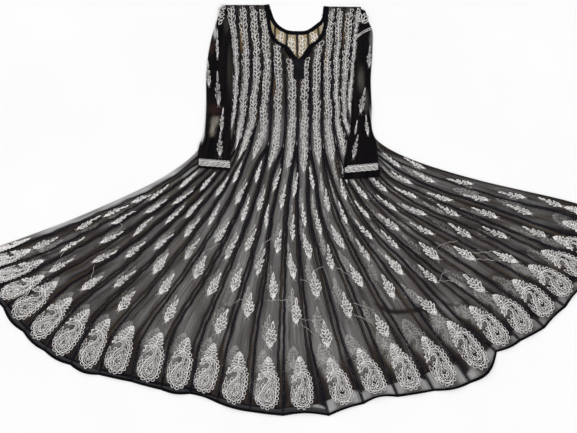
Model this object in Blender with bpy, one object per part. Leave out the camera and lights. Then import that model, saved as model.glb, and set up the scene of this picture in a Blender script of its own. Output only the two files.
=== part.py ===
"""A long kalidar kurti, laid flat on its back with its sleeves turned down over its sides.

Narrow full-length panels run from the shoulder to the hem, and a pointed godet is let in at every
seam below the waist. The front lies on the back, and each seam keeps its two pieces a hair apart.
Metres, +Z up, the neck towards +Y, the origin on the table under the middle of the garment.
"""

import math
from collections import namedtuple

import bmesh
import bpy
from mathutils import Vector

# Driving sizes
LENGTH = 1.265
WALL = 0.0012
SEAM_GAP = 0.0003
HEM_BINDING = 0.0080
NECK_BINDING = 0.0105
GODET_TIP = 0.0020
STEEPEST_FOLD = 0.2
FOLD_GROWTH = 1.5
SLEEVE_WALL = 0.0010
SLEEVE_EDGE_STEP = 0.0025
TAB_LIFT = 0.0003
SHARP_EDGE = math.radians(40)

# The layout grid is squared paper over the spread garment, x squares right and y squares down
LENGTH_SQUARES = 408
SQUARE = LENGTH / LENGTH_SQUARES
NECK_SLACK = 2.2
LONGEST_MITRE = 2.0

# Heights of the two layers above the table
BACK_HEIGHT = 0.0
FRONT_HEIGHT = BACK_HEIGHT + WALL + SEAM_GAP

# How many steps each stretch between two stations is drawn with
BODICE_STEPS = (2, 2, 1)
SKIRT_STEPS = (2, 2, 3, 3, 2)
FRONT_COLUMNS = 4
BACK_COLUMNS = 2

# Skirt seams from the left side edge to the right one, and how much shorter the back is there
Seam = namedtuple("Seam", "start hip thigh knee calf hem back_short")
SKIRT = (
    Seam((207, 121), (198, 150), (158, 180), (94, 210), (44, 230), (-14, 251), 3),
    Seam((207, 121), (200, 154), (160, 185), (100, 213), (44, 236), (-16, 259), 3),
    Seam((225, 135), (205, 157), (165, 186), (119, 215), (46, 252), (-15, 273), 3),
    Seam((225, 135), (209, 160), (175, 186), (122, 223), (60, 258), (-8, 290), 3),
    Seam((235, 130), (226, 150), (180, 193), (111, 243), (52, 278), (3, 308), 4),
    Seam((235, 130), (228, 155), (185, 200), (120, 253), (62, 291), (23, 332), 4),
    Seam((244, 130), (230, 160), (193, 203), (125, 268), (75, 309), (44, 351), 4),
    Seam((244, 130), (230, 168), (200, 208), (150, 264), (98, 316), (70, 365), 4),
    Seam((257, 122), (237, 168), (209, 215), (155, 285), (112, 336), (99, 375), 4),
    Seam((257, 122), (245, 163), (225, 210), (190, 268), (143, 336), (131, 382), 4),
    Seam((269, 141), (256, 168), (240, 210), (208, 275), (173, 335), (161, 390), 4),
    Seam((269, 141), (264, 170), (250, 217), (225, 281), (201, 340), (190, 394), 4),
    Seam((284, 143), (274, 172), (263, 218), (247, 280), (229, 340), (217, 403), 5),
    Seam((284, 143), (281, 172), (272, 220), (266, 275), (256, 340), (250, 412), 5),
    Seam((297, 140), (292, 175), (287, 220), (285, 280), (284, 340), (283, 416), 6),
    Seam((297, 140), (298, 175), (298, 220), (303, 285), (312, 350), (329, 416), 12),
    Seam((310, 145), (309, 175), (311, 220), (327, 285), (344, 345), (364, 404), 17),
    Seam((310, 145), (316, 178), (323, 220), (346, 275), (371, 335), (398, 397), 14),
    Seam((323, 142), (327, 175), (340, 220), (370, 280), (405, 340), (434, 391), 17),
    Seam((323, 142), (332, 178), (351, 220), (395, 280), (436, 335), (471, 383), 25),
    Seam((335, 135), (343, 177), (366, 222), (412, 270), (460, 320), (497, 352), 12),
    Seam((335, 135), (347, 178), (379, 222), (425, 262), (486, 308), (521, 341), 12),
    Seam((344, 130), (361, 180), (390, 212), (440, 248), (509, 295), (545, 328), 16),
    Seam((344, 130), (368, 180), (400, 207), (458, 240), (526, 279), (566, 307), 13),
    Seam((352, 130), (378, 174), (415, 203), (475, 230), (547, 267), (586, 284), 12),
    Seam((352, 130), (386, 174), (425, 195), (480, 218), (556, 249), (602, 262), 10),
    Seam((360, 135), (392, 166), (432, 187), (490, 207), (560, 232), (609, 243), 8),
    Seam((360, 135), (396, 160), (440, 178), (495, 196), (562, 213), (611, 226), 6),
    Seam((371, 122), (378, 141), (413, 160), (478, 180), (564, 200), (605, 213), 4),
)

# Bodice seams, each above its godet: x where it meets the top edge in front and behind, then below
BodiceSeam = namedtuple("BodiceSeam", "front_top back_top chest waist")
BODICE = (
    BodiceSeam(225, 225, (232.5, 60), (231.5, 108)),
    BodiceSeam(236, 236, (240, 65), (237, 110)),
    BodiceSeam(247, 247, (251, 65), (247, 110)),
    BodiceSeam(258, 258, (262, 65), (258, 105)),
    BodiceSeam(271, 275, (273, 70), (271, 105)),
    BodiceSeam(282, 287, (285, 75), (286, 110)),
    BodiceSeam(298, 297, (298, 90), (298, 115)),
    BodiceSeam(313, 308, (310, 75), (310, 110)),
    BodiceSeam(326, 318, (322, 65), (322, 105)),
    BodiceSeam(335, 335, (332, 65), (333, 105)),
    BodiceSeam(344, 344, (340, 65), (340, 105)),
    BodiceSeam(355, 355, (350, 65), (347, 100)),
    BodiceSeam(361, 361, (355.5, 65), (352.5, 105)),
)
LEFT_UNDERARM = (212, 112)
RIGHT_UNDERARM = (369, 108)

# The panels' top edges: left shoulder, neck and right shoulder
FRONT_TOP = (
    (220, 5), (264.5, 5), (266.3, 17), (268.2, 29.5), (271, 37), (276, 43.5), (282, 47), (287, 50),
    (291.5, 56.5), (298, 64), (304.5, 58), (309, 51), (313, 46.5), (318, 43.5), (323, 37),
    (326, 30), (328, 15), (328.5, 6.5), (366, 7),
)
BACK_TOP = (
    (220, 5), (266, 5), (269, 15), (272, 22), (277, 28), (286, 33.3), (297, 34.5), (308, 33.5),
    (318, 27), (324.5, 20.5), (327, 6.5), (366, 7),
)

# Each front piece's fold height at the hem, and how far its hem bulges past a straight line
Kali = namedtuple("Kali", "fold bulge")
KALIS = (
    Kali(0.0010, 0),
    Kali(0.0030, 0.5),
    Kali(0.0025, 0.5),
    Kali(0.0040, 1),
    Kali(0.0030, 3),
    Kali(0.0045, 2),
    Kali(0.0035, 2),
    Kali(0.0050, 3),
    Kali(0.0040, 0),
    Kali(0.0055, 0),
    Kali(0.0045, 2),
    Kali(0.0050, -1.5),
    Kali(0.0060, 1),
    Kali(0.0045, 0),
    Kali(0.0060, -3),
    Kali(0.0050, -1.5),
    Kali(0.0065, -4),
    Kali(0.0055, 0),
    Kali(0.0070, 2.5),
    Kali(0.0080, 7),
    Kali(0.0060, 1.5),
    Kali(0.0065, 0),
    Kali(0.0050, -1.5),
    Kali(0.0060, -2),
    Kali(0.0040, 1),
    Kali(0.0045, 1),
    Kali(0.0030, 0.5),
    Kali(0.0025, 0),
)
LAST_KALI = len(KALIS)
LEFT_BACK_SIDE = 3
RIGHT_BACK_SIDE = 27

# The back's seams lie this share of a panel left of the front's, more towards the right
BACK_SHIFT = 0.18
BACK_SHIFT_MORE = 0.17
BACK_SHIFT_FROM = 16
BACK_SHIFT_OVER = 6

# Sleeve sections from head to cuff: its two edges, and their heights above the table
Section = namedtuple("Section", "outer inner outer_height inner_height")
LEFT_SLEEVE = (
    Section((220.5, 8), (225.8, 6), 0.0032, 0.0036),
    Section((217, 20), (228.0, 20), 0.0020, 0.0034),
    Section((212, 35), (230.5, 35), 0.0, 0.0034),
    Section((208, 55), (232.8, 55), 0.0, 0.0034),
    Section((206, 78), (233.0, 78), 0.0, 0.0034),
    Section((206, 97), (232.6, 97), 0.0, 0.0034),
    Section((206, 109), (231.8, 109), 0.0033, 0.0034),
    Section((204.5, 128), (231, 130), 0.0035, 0.0036),
    Section((199, 146), (231, 148), 0.0038, 0.0038),
    Section((197.5, 157), (230.5, 160), 0.0042, 0.0040),
    Section((198, 168), (230, 171), 0.0045, 0.0042),
)
RIGHT_SLEEVE = (
    Section((365.5, 11), (360.2, 9), 0.0032, 0.0036),
    Section((368.5, 21), (359.4, 20), 0.0020, 0.0034),
    Section((373, 33), (358.0, 35), 0.0, 0.0034),
    Section((372.5, 55), (355.8, 55), 0.0, 0.0034),
    Section((371, 78), (353.8, 78), 0.0, 0.0034),
    Section((371.5, 97), (352.2, 97), 0.0, 0.0034),
    Section((372, 109), (351.2, 110), 0.0033, 0.0034),
    Section((372, 128), (350, 130), 0.0035, 0.0036),
    Section((376.5, 143), (346.5, 147), 0.0038, 0.0038),
    Section((378, 158), (344, 161), 0.0042, 0.0040),
    Section((381, 177), (343, 180), 0.0047, 0.0044),
)

# The placket tab under the point of the neck
TAB_LEFT, TAB_RIGHT, TAB_UPPER, TAB_LOWER = 293.5, 304, 59, 79

CLOTH = (0.105, 0.096, 0.088)
GODET_CLOTH = (0.080, 0.073, 0.067)
BACK_CLOTH = (0.060, 0.055, 0.052)
SLEEVE_CLOTH = (0.022, 0.020, 0.021)
BINDING_CLOTH = (0.008, 0.008, 0.009)
CLOTH_ROUGHNESS = 0.75
BINDING_ROUGHNESS = 0.6


def curve(points, steps, before=None, after=None):
    """A smooth run through the points, with steps[i] stretches after point i; the ends may be steered."""
    first, second = Vector(points[0]), Vector(points[1])
    last, last_but_one = Vector(points[-1]), Vector(points[-2])
    knots = [Vector(before) if before else 2 * first - second]
    knots += [Vector(point) for point in points]
    knots.append(Vector(after) if after else 2 * last - last_but_one)
    run = [knots[1]]
    for i, count in enumerate(steps):
        a, b, c, d = knots[i : i + 4]
        for step in range(1, count + 1):
            t = step / count
            bend = (2 * a - 5 * b + 4 * c - d) * t * t + (3 * b - a - 3 * c + d) * t**3
            run.append(b + ((c - a) * t + bend) / 2)
    return run


def sideways(path, distance):
    """The path moved by this many squares at right angles, to the right for one that runs down."""
    moved = []
    for i, point in enumerate(path):
        along = (path[min(i + 1, len(path) - 1)] - path[max(i - 1, 0)]).normalized()
        moved.append(point + distance * Vector((along.y, -along.x)))
    return moved


def mitred(path, distance):
    """The path moved at right angles with its stretches kept parallel, so that corners stay sharp."""
    moved = []
    for i, point in enumerate(path):
        before = (point - path[i - 1]).normalized() if i else None
        after = (path[i + 1] - point).normalized() if i + 1 < len(path) else None
        before, after = before or after, after or before
        along = (before + after).normalized()
        stretch = distance * min(1 / along.dot(before), LONGEST_MITRE)
        moved.append(point + stretch * Vector((along.y, -along.x)))
    return moved


def height_of(line, x):
    """y of a line of points at x."""
    for (x0, y0), (x1, y1) in zip(line, line[1:]):
        if x0 <= x <= x1:
            return y0 + (y1 - y0) * (x - x0) / (x1 - x0)
    raise ValueError(f"{x} is off the line")


def back_station(i, name):
    """A station of the back's seam i, between the front's seams i and i - 1."""
    more = min(max((i - BACK_SHIFT_FROM) / BACK_SHIFT_OVER, 0), 1)
    here, neighbour = Vector(getattr(SKIRT[i], name)), Vector(getattr(SKIRT[i - 1], name))
    return here.lerp(neighbour, BACK_SHIFT + BACK_SHIFT_MORE * more)


def skirt_seam(i, back):
    """Seam i from its godet's point to the hem."""
    seam = SKIRT[i]
    names = ("hip", "thigh", "knee", "calf", "hem")
    if back and i not in (0, 1, LAST_KALI):
        stations = [back_station(i, name) for name in names]
    else:
        stations = [Vector(getattr(seam, name)) for name in names]
    if back:
        upward = (stations[-2] - stations[-1]).normalized()
        stations[-1] = stations[-1] + seam.back_short * upward
    if i < 2:
        above = LEFT_UNDERARM
    elif i == LAST_KALI:
        above = RIGHT_UNDERARM
    else:
        above = BODICE[i // 2 - 1].waist
    return curve([seam.start, *stations], SKIRT_STEPS, before=above)


def bodice_seam(j, back):
    """Bodice seam j from the top edge to its godet's point."""
    seam = BODICE[j - 1]
    x = seam.back_top if back else seam.front_top
    top = (x, height_of(BACK_TOP if back else FRONT_TOP, x))
    left, right = SKIRT[2 * j], SKIRT[2 * j + 1]
    hips = (Vector(left.hip) + Vector(right.hip)) / 2
    return curve([top, seam.chest, seam.waist, left.start], BODICE_STEPS, after=hips)


def long_seam(i, back):
    """Seam i from the shoulder, neck or underarm to the hem."""
    if i == 1:
        return [Vector(LEFT_UNDERARM), *skirt_seam(i, back)]
    if i == LAST_KALI:
        return [Vector(RIGHT_UNDERARM), *skirt_seam(i, back)]
    return bodice_seam(i // 2, back)[:-1] + skirt_seam(i, back)


def from_tip(left, right):
    """A godet's two edges from where they are wide enough apart to sew."""
    width = GODET_TIP / SQUARE
    for i in range(1, len(left)):
        gap = (right[i] - left[i]).length
        if gap >= width:
            # The edges cross by the seam gap at their common point
            before = -SEAM_GAP / SQUARE if i == 1 else (right[i - 1] - left[i - 1]).length
            part = (width - before) / (gap - before)
            tip = [path[i - 1].lerp(path[i], part) for path in (left, right)]
            return [tip[0], *left[i:]], [tip[1], *right[i:]]
    raise ValueError("a godet never opens")


def piece_edges(first, last, back):
    """The left and right edges of a piece between two seams, in rows that match."""
    is_godet = first % 2 == 0 and last == first + 1
    left = skirt_seam(first, back) if is_godet else long_seam(first, back)
    right = skirt_seam(last, back) if is_godet else long_seam(last, back)
    rows = min(len(left), len(right))
    left = sideways(left, SEAM_GAP / SQUARE / 2)[-rows:]
    right = sideways(right, -SEAM_GAP / SQUARE / 2)[-rows:]
    return from_tip(left, right) if is_godet else (left, right)


def rows_between(left, right, columns):
    return [
        [a.lerp(b, column / columns) for column in range(columns + 1)]
        for a, b in zip(left, right)
    ]


def arch(column, columns):
    """0 at a piece's two seams and 1 along its middle."""
    return math.sin(math.pi * column / columns)


def bulge_hem(rows, bulge):
    """Moves the last row's middle past its ends, along the cloth."""
    columns = len(rows[-1]) - 1
    for column in range(columns + 1):
        along = (rows[-1][column] - rows[-2][column]).normalized()
        rows[-1][column] = rows[-1][column] + bulge * arch(column, columns) * along


def moved_up(rows, distance):
    """The last row moved back from the hem by this many metres, along the cloth."""
    back = []
    for point, above in zip(rows[-1], rows[-2]):
        back.append(point + distance / SQUARE * (above - point).normalized())
    return back


def fold_heights(rows, fold):
    """How high each point is lifted: nothing in the bodice, most along the middle of the hem."""
    columns = len(rows[0]) - 1
    drawn = sum(SKIRT_STEPS)
    heights = []
    for row, points in enumerate(rows):
        down = max(row - (len(rows) - 1 - drawn), 0) / drawn
        width = (points[-1] - points[0]).length * SQUARE
        lift = min(fold * down**FOLD_GROWTH, STEEPEST_FOLD * width)
        heights.append([lift * arch(column, columns) for column in range(columns + 1)])
    return heights


def place(point, height):
    """A grid point and a height as a place in metres, before the whole is centred."""
    return (point.x * SQUARE, -point.y * SQUARE, height)


def cloth(name, colour, roughness):
    material = bpy.data.materials.new(name)
    material.use_nodes = True
    shader = material.node_tree.nodes["Principled BSDF"]
    shader.inputs["Base Color"].default_value = (*colour, 1)
    shader.inputs["Roughness"].default_value = roughness
    shader.inputs["Metallic"].default_value = 0.0
    return material


def face_outward(mesh):
    work = bmesh.new()
    work.from_mesh(mesh)
    bmesh.ops.recalc_face_normals(work, faces=work.faces)
    work.to_mesh(mesh)
    work.free()


def add_object(name, points, faces, colour, roughness=CLOTH_ROUGHNESS):
    mesh = bpy.data.meshes.new(name)
    mesh.from_pydata(points, [], faces)
    face_outward(mesh)
    mesh.materials.append(cloth(name, colour, roughness))
    mesh.shade_smooth()
    mesh.set_sharp_from_angle(angle=SHARP_EDGE)
    obj = bpy.data.objects.new(name, mesh)
    bpy.context.scene.collection.objects.link(obj)
    return obj


def loft_faces(sections, size):
    """Side faces between closed sections of this many points each."""
    faces = []
    for section in range(sections - 1):
        for i in range(size):
            j = (i + 1) % size
            here, there = section * size, (section + 1) * size
            faces.append((here + i, there + i, there + j, here + j))
    return faces


def slab(name, rows, bottoms, colour, roughness=CLOTH_ROUGHNESS):
    """A wall over rows of grid points, with the height of its underside at each."""
    points = []
    for row, heights in zip(rows, bottoms):
        under = [place(point, height) for point, height in zip(row, heights)]
        over = [place(point, height + WALL) for point, height in zip(row, heights)]
        points += over + under[::-1]
    size = 2 * len(rows[0])
    faces = loft_faces(len(rows), size)
    end = (len(rows) - 1) * size
    for i in range(len(rows[0]) - 1):
        faces.append((i, i + 1, size - 2 - i, size - 1 - i))
        faces.append((end + i + 1, end + i, end + size - 1 - i, end + size - 2 - i))
    return add_object(name, points, faces, colour, roughness)


def front_name(k):
    return f"front_panel_{k:02d}" if k % 2 == 0 else f"front_godet_{k:02d}"


def back_name(k):
    return f"back_panel_{k:02d}" if k % 2 == 0 else f"back_godet_{k:02d}"


def on_top_edge(rows, line):
    """Puts the first row's inner points on the shoulder and neck line."""
    for point in rows[0][1:-1]:
        point.y = height_of(line, point.x)


def front_rows(k):
    """Rows of front piece k out to the garment's edge, with its folds."""
    left, right = piece_edges(k - 1, k, back=False)
    rows = rows_between(left, right, FRONT_COLUMNS)
    if k % 2 == 0 and 2 < k < LAST_KALI:
        on_top_edge(rows, FRONT_TOP)
    bulge_hem(rows, KALIS[k - 1].bulge)
    folds = fold_heights(rows, KALIS[k - 1].fold)
    return rows, [[FRONT_HEIGHT + lift for lift in row] for row in folds]


def back_rows(first, last, columns):
    """Rows of the back piece between two seams, flat on the table."""
    left, right = piece_edges(first, last, back=True)
    rows = rows_between(left, right, columns)
    if first % 2 == 1 and last == first + 1:
        on_top_edge(rows, BACK_TOP)
    return rows, [[BACK_HEIGHT] * (columns + 1) for _ in rows]


def short_of_hem(rows):
    """The rows with the last one drawn back to leave room for the binding."""
    return rows[:-1] + [moved_up(rows, HEM_BINDING + SEAM_GAP)]


def hem_binding(name, pieces):
    """The strip that edges a layer's hem, made from its pieces' own last rows."""
    inner, outer, heights = [], [], []
    for rows, bottoms in pieces:
        starts, ends = moved_up(rows, HEM_BINDING), rows[-1]
        if inner:
            # Neighbours share one point at their seam
            inner[-1] = (inner[-1] + starts[0]) / 2
            outer[-1] = (outer[-1] + ends[0]) / 2
            starts, ends = starts[1:], ends[1:]
        inner += starts
        outer += ends
        heights += bottoms[-1][-len(starts) :]
    rows = [[a, b] for a, b in zip(inner, outer)]
    bottoms = [[height, height] for height in heights]
    return slab(name, rows, bottoms, BINDING_CLOTH, BINDING_ROUGHNESS)


def neck_binding(name, pieces, line, height):
    """The strip round the neck, made from the top rows of the pieces that reach it."""
    first, last = line[1][0] - NECK_SLACK, line[-2][0] + NECK_SLACK
    path = []
    for rows, _ in pieces:
        for point in rows[0]:
            beyond_last = not path or point.x - path[-1].x > 2 * SEAM_GAP / SQUARE
            if first < point.x < last and beyond_last:
                path.append(point)
    inner = mitred(path, SEAM_GAP / SQUARE)
    outer = mitred(path, (SEAM_GAP + NECK_BINDING) / SQUARE)
    rows = [[a, b] for a, b in zip(inner, outer)]
    bottoms = [[height, height] for _ in rows]
    return slab(name, rows, bottoms, BINDING_CLOTH, BINDING_ROUGHNESS)


def run_round(at, corners):
    """A section's points: its corners, and one more along each long run."""
    points = []
    for here, there in zip(corners, corners[1:] + corners[:1]):
        points.append(at(*here))
        if abs(there[0] - here[0]) > 2 * SLEEVE_EDGE_STEP:
            points.append(at((here[0] + there[0]) / 2, here[1]))
    return points


def sleeve(name, sections):
    """A sleeve's tube folded in half along its length, so that four layers lie on each other."""
    wall, gap = SLEEVE_WALL, SEAM_GAP
    top = 4 * wall + 3 * gap
    outside, lumen = [], []
    for section in sections:
        outer, inner = Vector(section.outer), Vector(section.inner)
        width = (inner - outer).length * SQUARE

        def at(across, height):
            share = across / width
            base = section.outer_height + share * (section.inner_height - section.outer_height)
            return place(outer.lerp(inner, share), base + height)

        step, fold = SLEEVE_EDGE_STEP, width - 2 * wall - gap
        outside += run_round(at, [
            (0, 0), (width, 0), (width, top), (step, top),
            (step, 2 * (wall + gap)), (fold, 2 * (wall + gap)), (fold, 2 * wall + gap),
            (0, 2 * wall + gap),
        ])
        lumen += run_round(at, [
            (wall, wall), (width - wall, wall), (width - wall, top - wall), (step + wall, top - wall),
            (step + wall, top - wall - gap), (fold + wall, top - wall - gap),
            (fold + wall, wall + gap), (wall, wall + gap),
        ])
    size = len(outside) // len(sections)
    inner_start = len(outside)
    faces = loft_faces(len(sections), size)
    for a, b, c, d in loft_faces(len(sections), size):
        faces.append((inner_start + d, inner_start + c, inner_start + b, inner_start + a))
    end = (len(sections) - 1) * size
    for i in range(size):
        j = (i + 1) % size
        faces.append((i, j, inner_start + j, inner_start + i))
        faces.append((end + j, end + i, inner_start + end + i, inner_start + end + j))
    return add_object(name, outside + lumen, faces, SLEEVE_CLOTH)


def placket_tab():
    """The small tab over the point of the neck, just above the panels."""
    height = FRONT_HEIGHT + WALL + TAB_LIFT
    rows = [
        [Vector((TAB_LEFT, y)), Vector((TAB_RIGHT, y))]
        for y in (TAB_UPPER, (TAB_UPPER + TAB_LOWER) / 2, TAB_LOWER)
    ]
    return slab("placket_tab", rows, [[height, height]] * 3, BINDING_CLOTH, BINDING_ROUGHNESS)


def front():
    pieces = [front_rows(k) for k in range(1, LAST_KALI + 1)]
    for k, (rows, bottoms) in enumerate(pieces, 1):
        colour = CLOTH if k % 2 == 0 else GODET_CLOTH
        slab(front_name(k), short_of_hem(rows), bottoms, colour)
    hem_binding("front_hem_binding", pieces)
    neck_binding("front_neck_binding", pieces[3:26:2], FRONT_TOP, FRONT_HEIGHT)


def back():
    pieces = {"back_side_left": back_rows(1, LEFT_BACK_SIDE, FRONT_COLUMNS)}
    for k in range(LEFT_BACK_SIDE + 1, RIGHT_BACK_SIDE):
        pieces[back_name(k)] = back_rows(k - 1, k, BACK_COLUMNS)
    pieces["back_side_right"] = back_rows(RIGHT_BACK_SIDE - 1, LAST_KALI, FRONT_COLUMNS)
    for name, (rows, bottoms) in pieces.items():
        slab(name, short_of_hem(rows), bottoms, BACK_CLOTH)
    hem_binding("back_hem_binding", pieces.values())
    full = [rows for name, rows in pieces.items() if name.startswith("back_panel")]
    neck_binding("back_neck_binding", full, BACK_TOP, BACK_HEIGHT)


def centre_on_table():
    """Moves every mesh so that the origin is under the middle of the whole."""
    points = [vertex.co for obj in bpy.data.objects for vertex in obj.data.vertices]
    low = Vector(min(point[axis] for point in points) for axis in range(3))
    high = Vector(max(point[axis] for point in points) for axis in range(3))
    middle = (low + high) / 2
    for obj in bpy.data.objects:
        for vertex in obj.data.vertices:
            vertex.co -= Vector((middle.x, middle.y, low.z))


def main():
    for obj in list(bpy.data.objects):
        bpy.data.objects.remove(obj, do_unlink=True)
    front()
    back()
    placket_tab()
    sleeve("sleeve_left", LEFT_SLEEVE)
    sleeve("sleeve_right", RIGHT_SLEEVE)
    centre_on_table()


main()
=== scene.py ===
"""The looks of a long kalidar kurti in sheer black cloth with white thread work, laid flat.

The seams, folds and sleeves repeat the tables of the model, on the same layout grid: squared paper
over the spread garment, x squares right and y squares down. Each piece of cloth is one thin sheet in
the middle of its solid. The thread work is raised stitches that follow the cloth they are sewn to.
"""

import math
from collections import namedtuple

import bmesh
import bpy
import numpy as np
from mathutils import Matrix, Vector


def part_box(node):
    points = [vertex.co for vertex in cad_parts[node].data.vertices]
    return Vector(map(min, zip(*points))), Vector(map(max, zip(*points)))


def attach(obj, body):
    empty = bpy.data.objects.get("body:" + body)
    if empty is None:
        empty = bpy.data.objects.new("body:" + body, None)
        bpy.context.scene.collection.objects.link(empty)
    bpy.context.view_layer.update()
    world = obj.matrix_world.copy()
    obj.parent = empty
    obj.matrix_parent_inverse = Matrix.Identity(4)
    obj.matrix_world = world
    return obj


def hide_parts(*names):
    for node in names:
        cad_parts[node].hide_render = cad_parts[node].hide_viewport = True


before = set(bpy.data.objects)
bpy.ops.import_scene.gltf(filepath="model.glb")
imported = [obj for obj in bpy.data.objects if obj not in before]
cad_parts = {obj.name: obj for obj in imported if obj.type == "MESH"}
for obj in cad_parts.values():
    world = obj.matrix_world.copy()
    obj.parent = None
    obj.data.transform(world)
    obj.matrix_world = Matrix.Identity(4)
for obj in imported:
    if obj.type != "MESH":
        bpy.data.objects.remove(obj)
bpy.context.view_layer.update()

# Sizes of the garment, as in the model
LENGTH = 1.265
LENGTH_SQUARES = 408
SQUARE = LENGTH / LENGTH_SQUARES
WALL = 0.0012
SEAM_GAP = 0.0003
HEM_BINDING = 0.0080
NECK_BINDING = 0.0105
GODET_TIP = 0.0020
STEEPEST_FOLD = 0.2
FOLD_GROWTH = 1.5
LONGEST_MITRE = 2.0
SLEEVE_WALL = 0.0010
SLEEVE_LAYERS = 4
SLEEVE_EDGE_STEP = 0.0025
BACK_HEIGHT = 0.0
FRONT_HEIGHT = BACK_HEIGHT + WALL + SEAM_GAP

# A neck whose lowest point lies this far down the grid has a notch, with straight sides below this line
NECK_POINT_BELOW = 60
STRAIGHT_RUN = 49

# A strip's rise above the cloth, its crown and its columns over each piece, and how far a neck's
# strip is widened over the panels
STRIP_RISE, STRIP_CROWN = 0.0003, 0.0003
STRIP_COLUMNS = 9
BINDING_OVERLAP = 0.16
WIDER_AT_POINT = 0.75

# How finely the cloth is drawn: steps between the stations of a seam, and columns across a piece
BODICE_STEPS = (8, 8, 4)
SKIRT_STEPS = (10, 10, 15, 15, 10)
LAST_STEPS = 5
INNER_COLUMNS = 12
CREASED_ROW_PARTS = 3
LAST_ROW_ROOM = 0.3
TOP_EDGE_ROWS = 6
CREASE_STEPS = 4
CREASE_ENDS, CREASE_EASE = 0.02, 0.6

# The cloth turned in at a seam, in metres, and how far up the hem is turned, in squares
SEAM_ALLOWANCE = 0.0036
WIDEST_ALLOWANCE = 0.35
SEAM_RIDGE = 0.0005
BACK_HEM_TURN = 9.0
FRONT_HEM_TURN = 7.5
TURNED_FRONT = range(2, 16)
CLOTH_INTO_BINDING = 0.0030

# How slack the seams lie, in squares: a long wave, with a shorter one over it
LEFT_SLACK, RIGHT_SLACK = 0.85, 0.5
SLACK_LEFT_SEAMS = 16
SLACK_REACH, SLACK_EASE = 0.66, 0.7
SLACK_WAVE, SLACK_WAVE_VARIES = 27.0, 0.3
SHORT_WAVES, SHORT_WAVE_SHARE = 2.3, 0.5
WAY_STRETCH = 14.0

# How much the cloth gathers, and so how dense it is and how far painted shade darkens it: beside its seams
# and within how many squares of them, more so near the hem, and most where the back ends above the front's
# hem
SEAM_GATHER_AND_SHADE = 0.26
SEAM_GATHER_REACH = 2.4
GATHER_EVEN, GATHER_UNEVEN = 0.75, 0.35
HEM_GATHER_AND_SHADE, HEM_GATHER_REACH = 0.46, 2.2
SINGLE_GATHER_AND_SHADE, SINGLE_GATHER_REACH = 1.05, 3.8
HEM_GATHER_FROM, HEM_GATHER_OVER = 62.0, 40.0
SINGLE_FROM = 15
SINGLE_EDGE = 3

# How dense it looks, and how much painted shade it gets, under the paisleys there, over the bodice, and in
# soft streaks along each piece
MOTIF_GATHER_AND_SHADE, MOTIF_WIDE, MOTIF_UP, MOTIF_TALL = 0.34, 8.5, 15.0, 15.0
BODICE_GATHER, BODICE_TO, BODICE_FADE = 0.30, 128.0, 22.0
STREAKS = 0.05
STREAK_ACROSS, STREAK_ALONG = 0.45, 0.02
STREAK_DEPTH = 0.55

# How strongly painted shade darkens its colour where it is gathered and creased, and the least and the most
# of the light that it stops
PAINTED_SHADE_STRENGTH = 0.8
CREASE_GATHER_AND_SHADE = 1.25
PAINTED_HIGHLIGHT_DENSITY = 0.3
SHEEREST, DENSEST = 0.05, 0.96
RUN_SEEDS = 97

# Colours: the cloth's from its darkest streaks to its lightest, its painted highlight where a sleeve lies
# slack, its painted shade where gathered, and its warm tone
BODY_TONES = ((0.018, 0.015, 0.018), (0.032, 0.024, 0.021), (0.066, 0.049, 0.034))
SLEEVE_TONES = ((0.003, 0.003, 0.005), (0.006, 0.005, 0.006), (0.014, 0.010, 0.010))
PAINTED_HIGHLIGHT_CLOTH = (0.27, 0.245, 0.205)
PAINTED_SHADE_CLOTH = (0.009, 0.008, 0.010)
FRONT_WARM_TONE, BACK_WARM_TONE = (0.13, 0.08, 0.03), (0.35, 0.255, 0.11)
SLEEVE_WARM_TONE = (0.035, 0.018, 0.015)
BLACK, NAVY = (0.003, 0.003, 0.005), (0.009, 0.009, 0.014)
BINDING_TONES = ((0.0015, 0.0015, 0.0025), (0.004, 0.004, 0.006))
TAB_TONES = ((0.006, 0.006, 0.008), (0.013, 0.013, 0.016))
THREAD_TONES = ((0.47, 0.455, 0.445), (0.76, 0.74, 0.73), (0.91, 0.895, 0.88))
# The back's thread is the same cotton painted lighter: painted light making up for the shade the front layer
# casts on it
LIGHTENED_BACK_THREAD_TONES = ((0.72, 0.71, 0.69), (0.90, 0.89, 0.87), (0.96, 0.95, 0.93))
SLEEVE_THREAD_TONES = ((0.30, 0.29, 0.28), (0.60, 0.58, 0.57), (0.80, 0.78, 0.77))
FLOAT_TONES = ((0.30, 0.29, 0.28), (0.46, 0.44, 0.43), (0.62, 0.60, 0.58))
FLOOR_TONES = ((0.90, 0.90, 0.90), (0.91, 0.91, 0.91), (0.92, 0.92, 0.92))

# How dense each cloth is, from its thinnest drifts to its thickest, and how much denser where it is warm
FRONT_DENSITY, FRONT_WARM_DENSITY = (0.20, 0.62), 0.25
BACK_DENSITY, BACK_WARM_DENSITY = (0.22, 0.64), 0.24
SLEEVE_DENSITY = (0.56, 0.74)
SEAM_DENSITY, HEM_DENSITY = 0.95, 0.82

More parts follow.
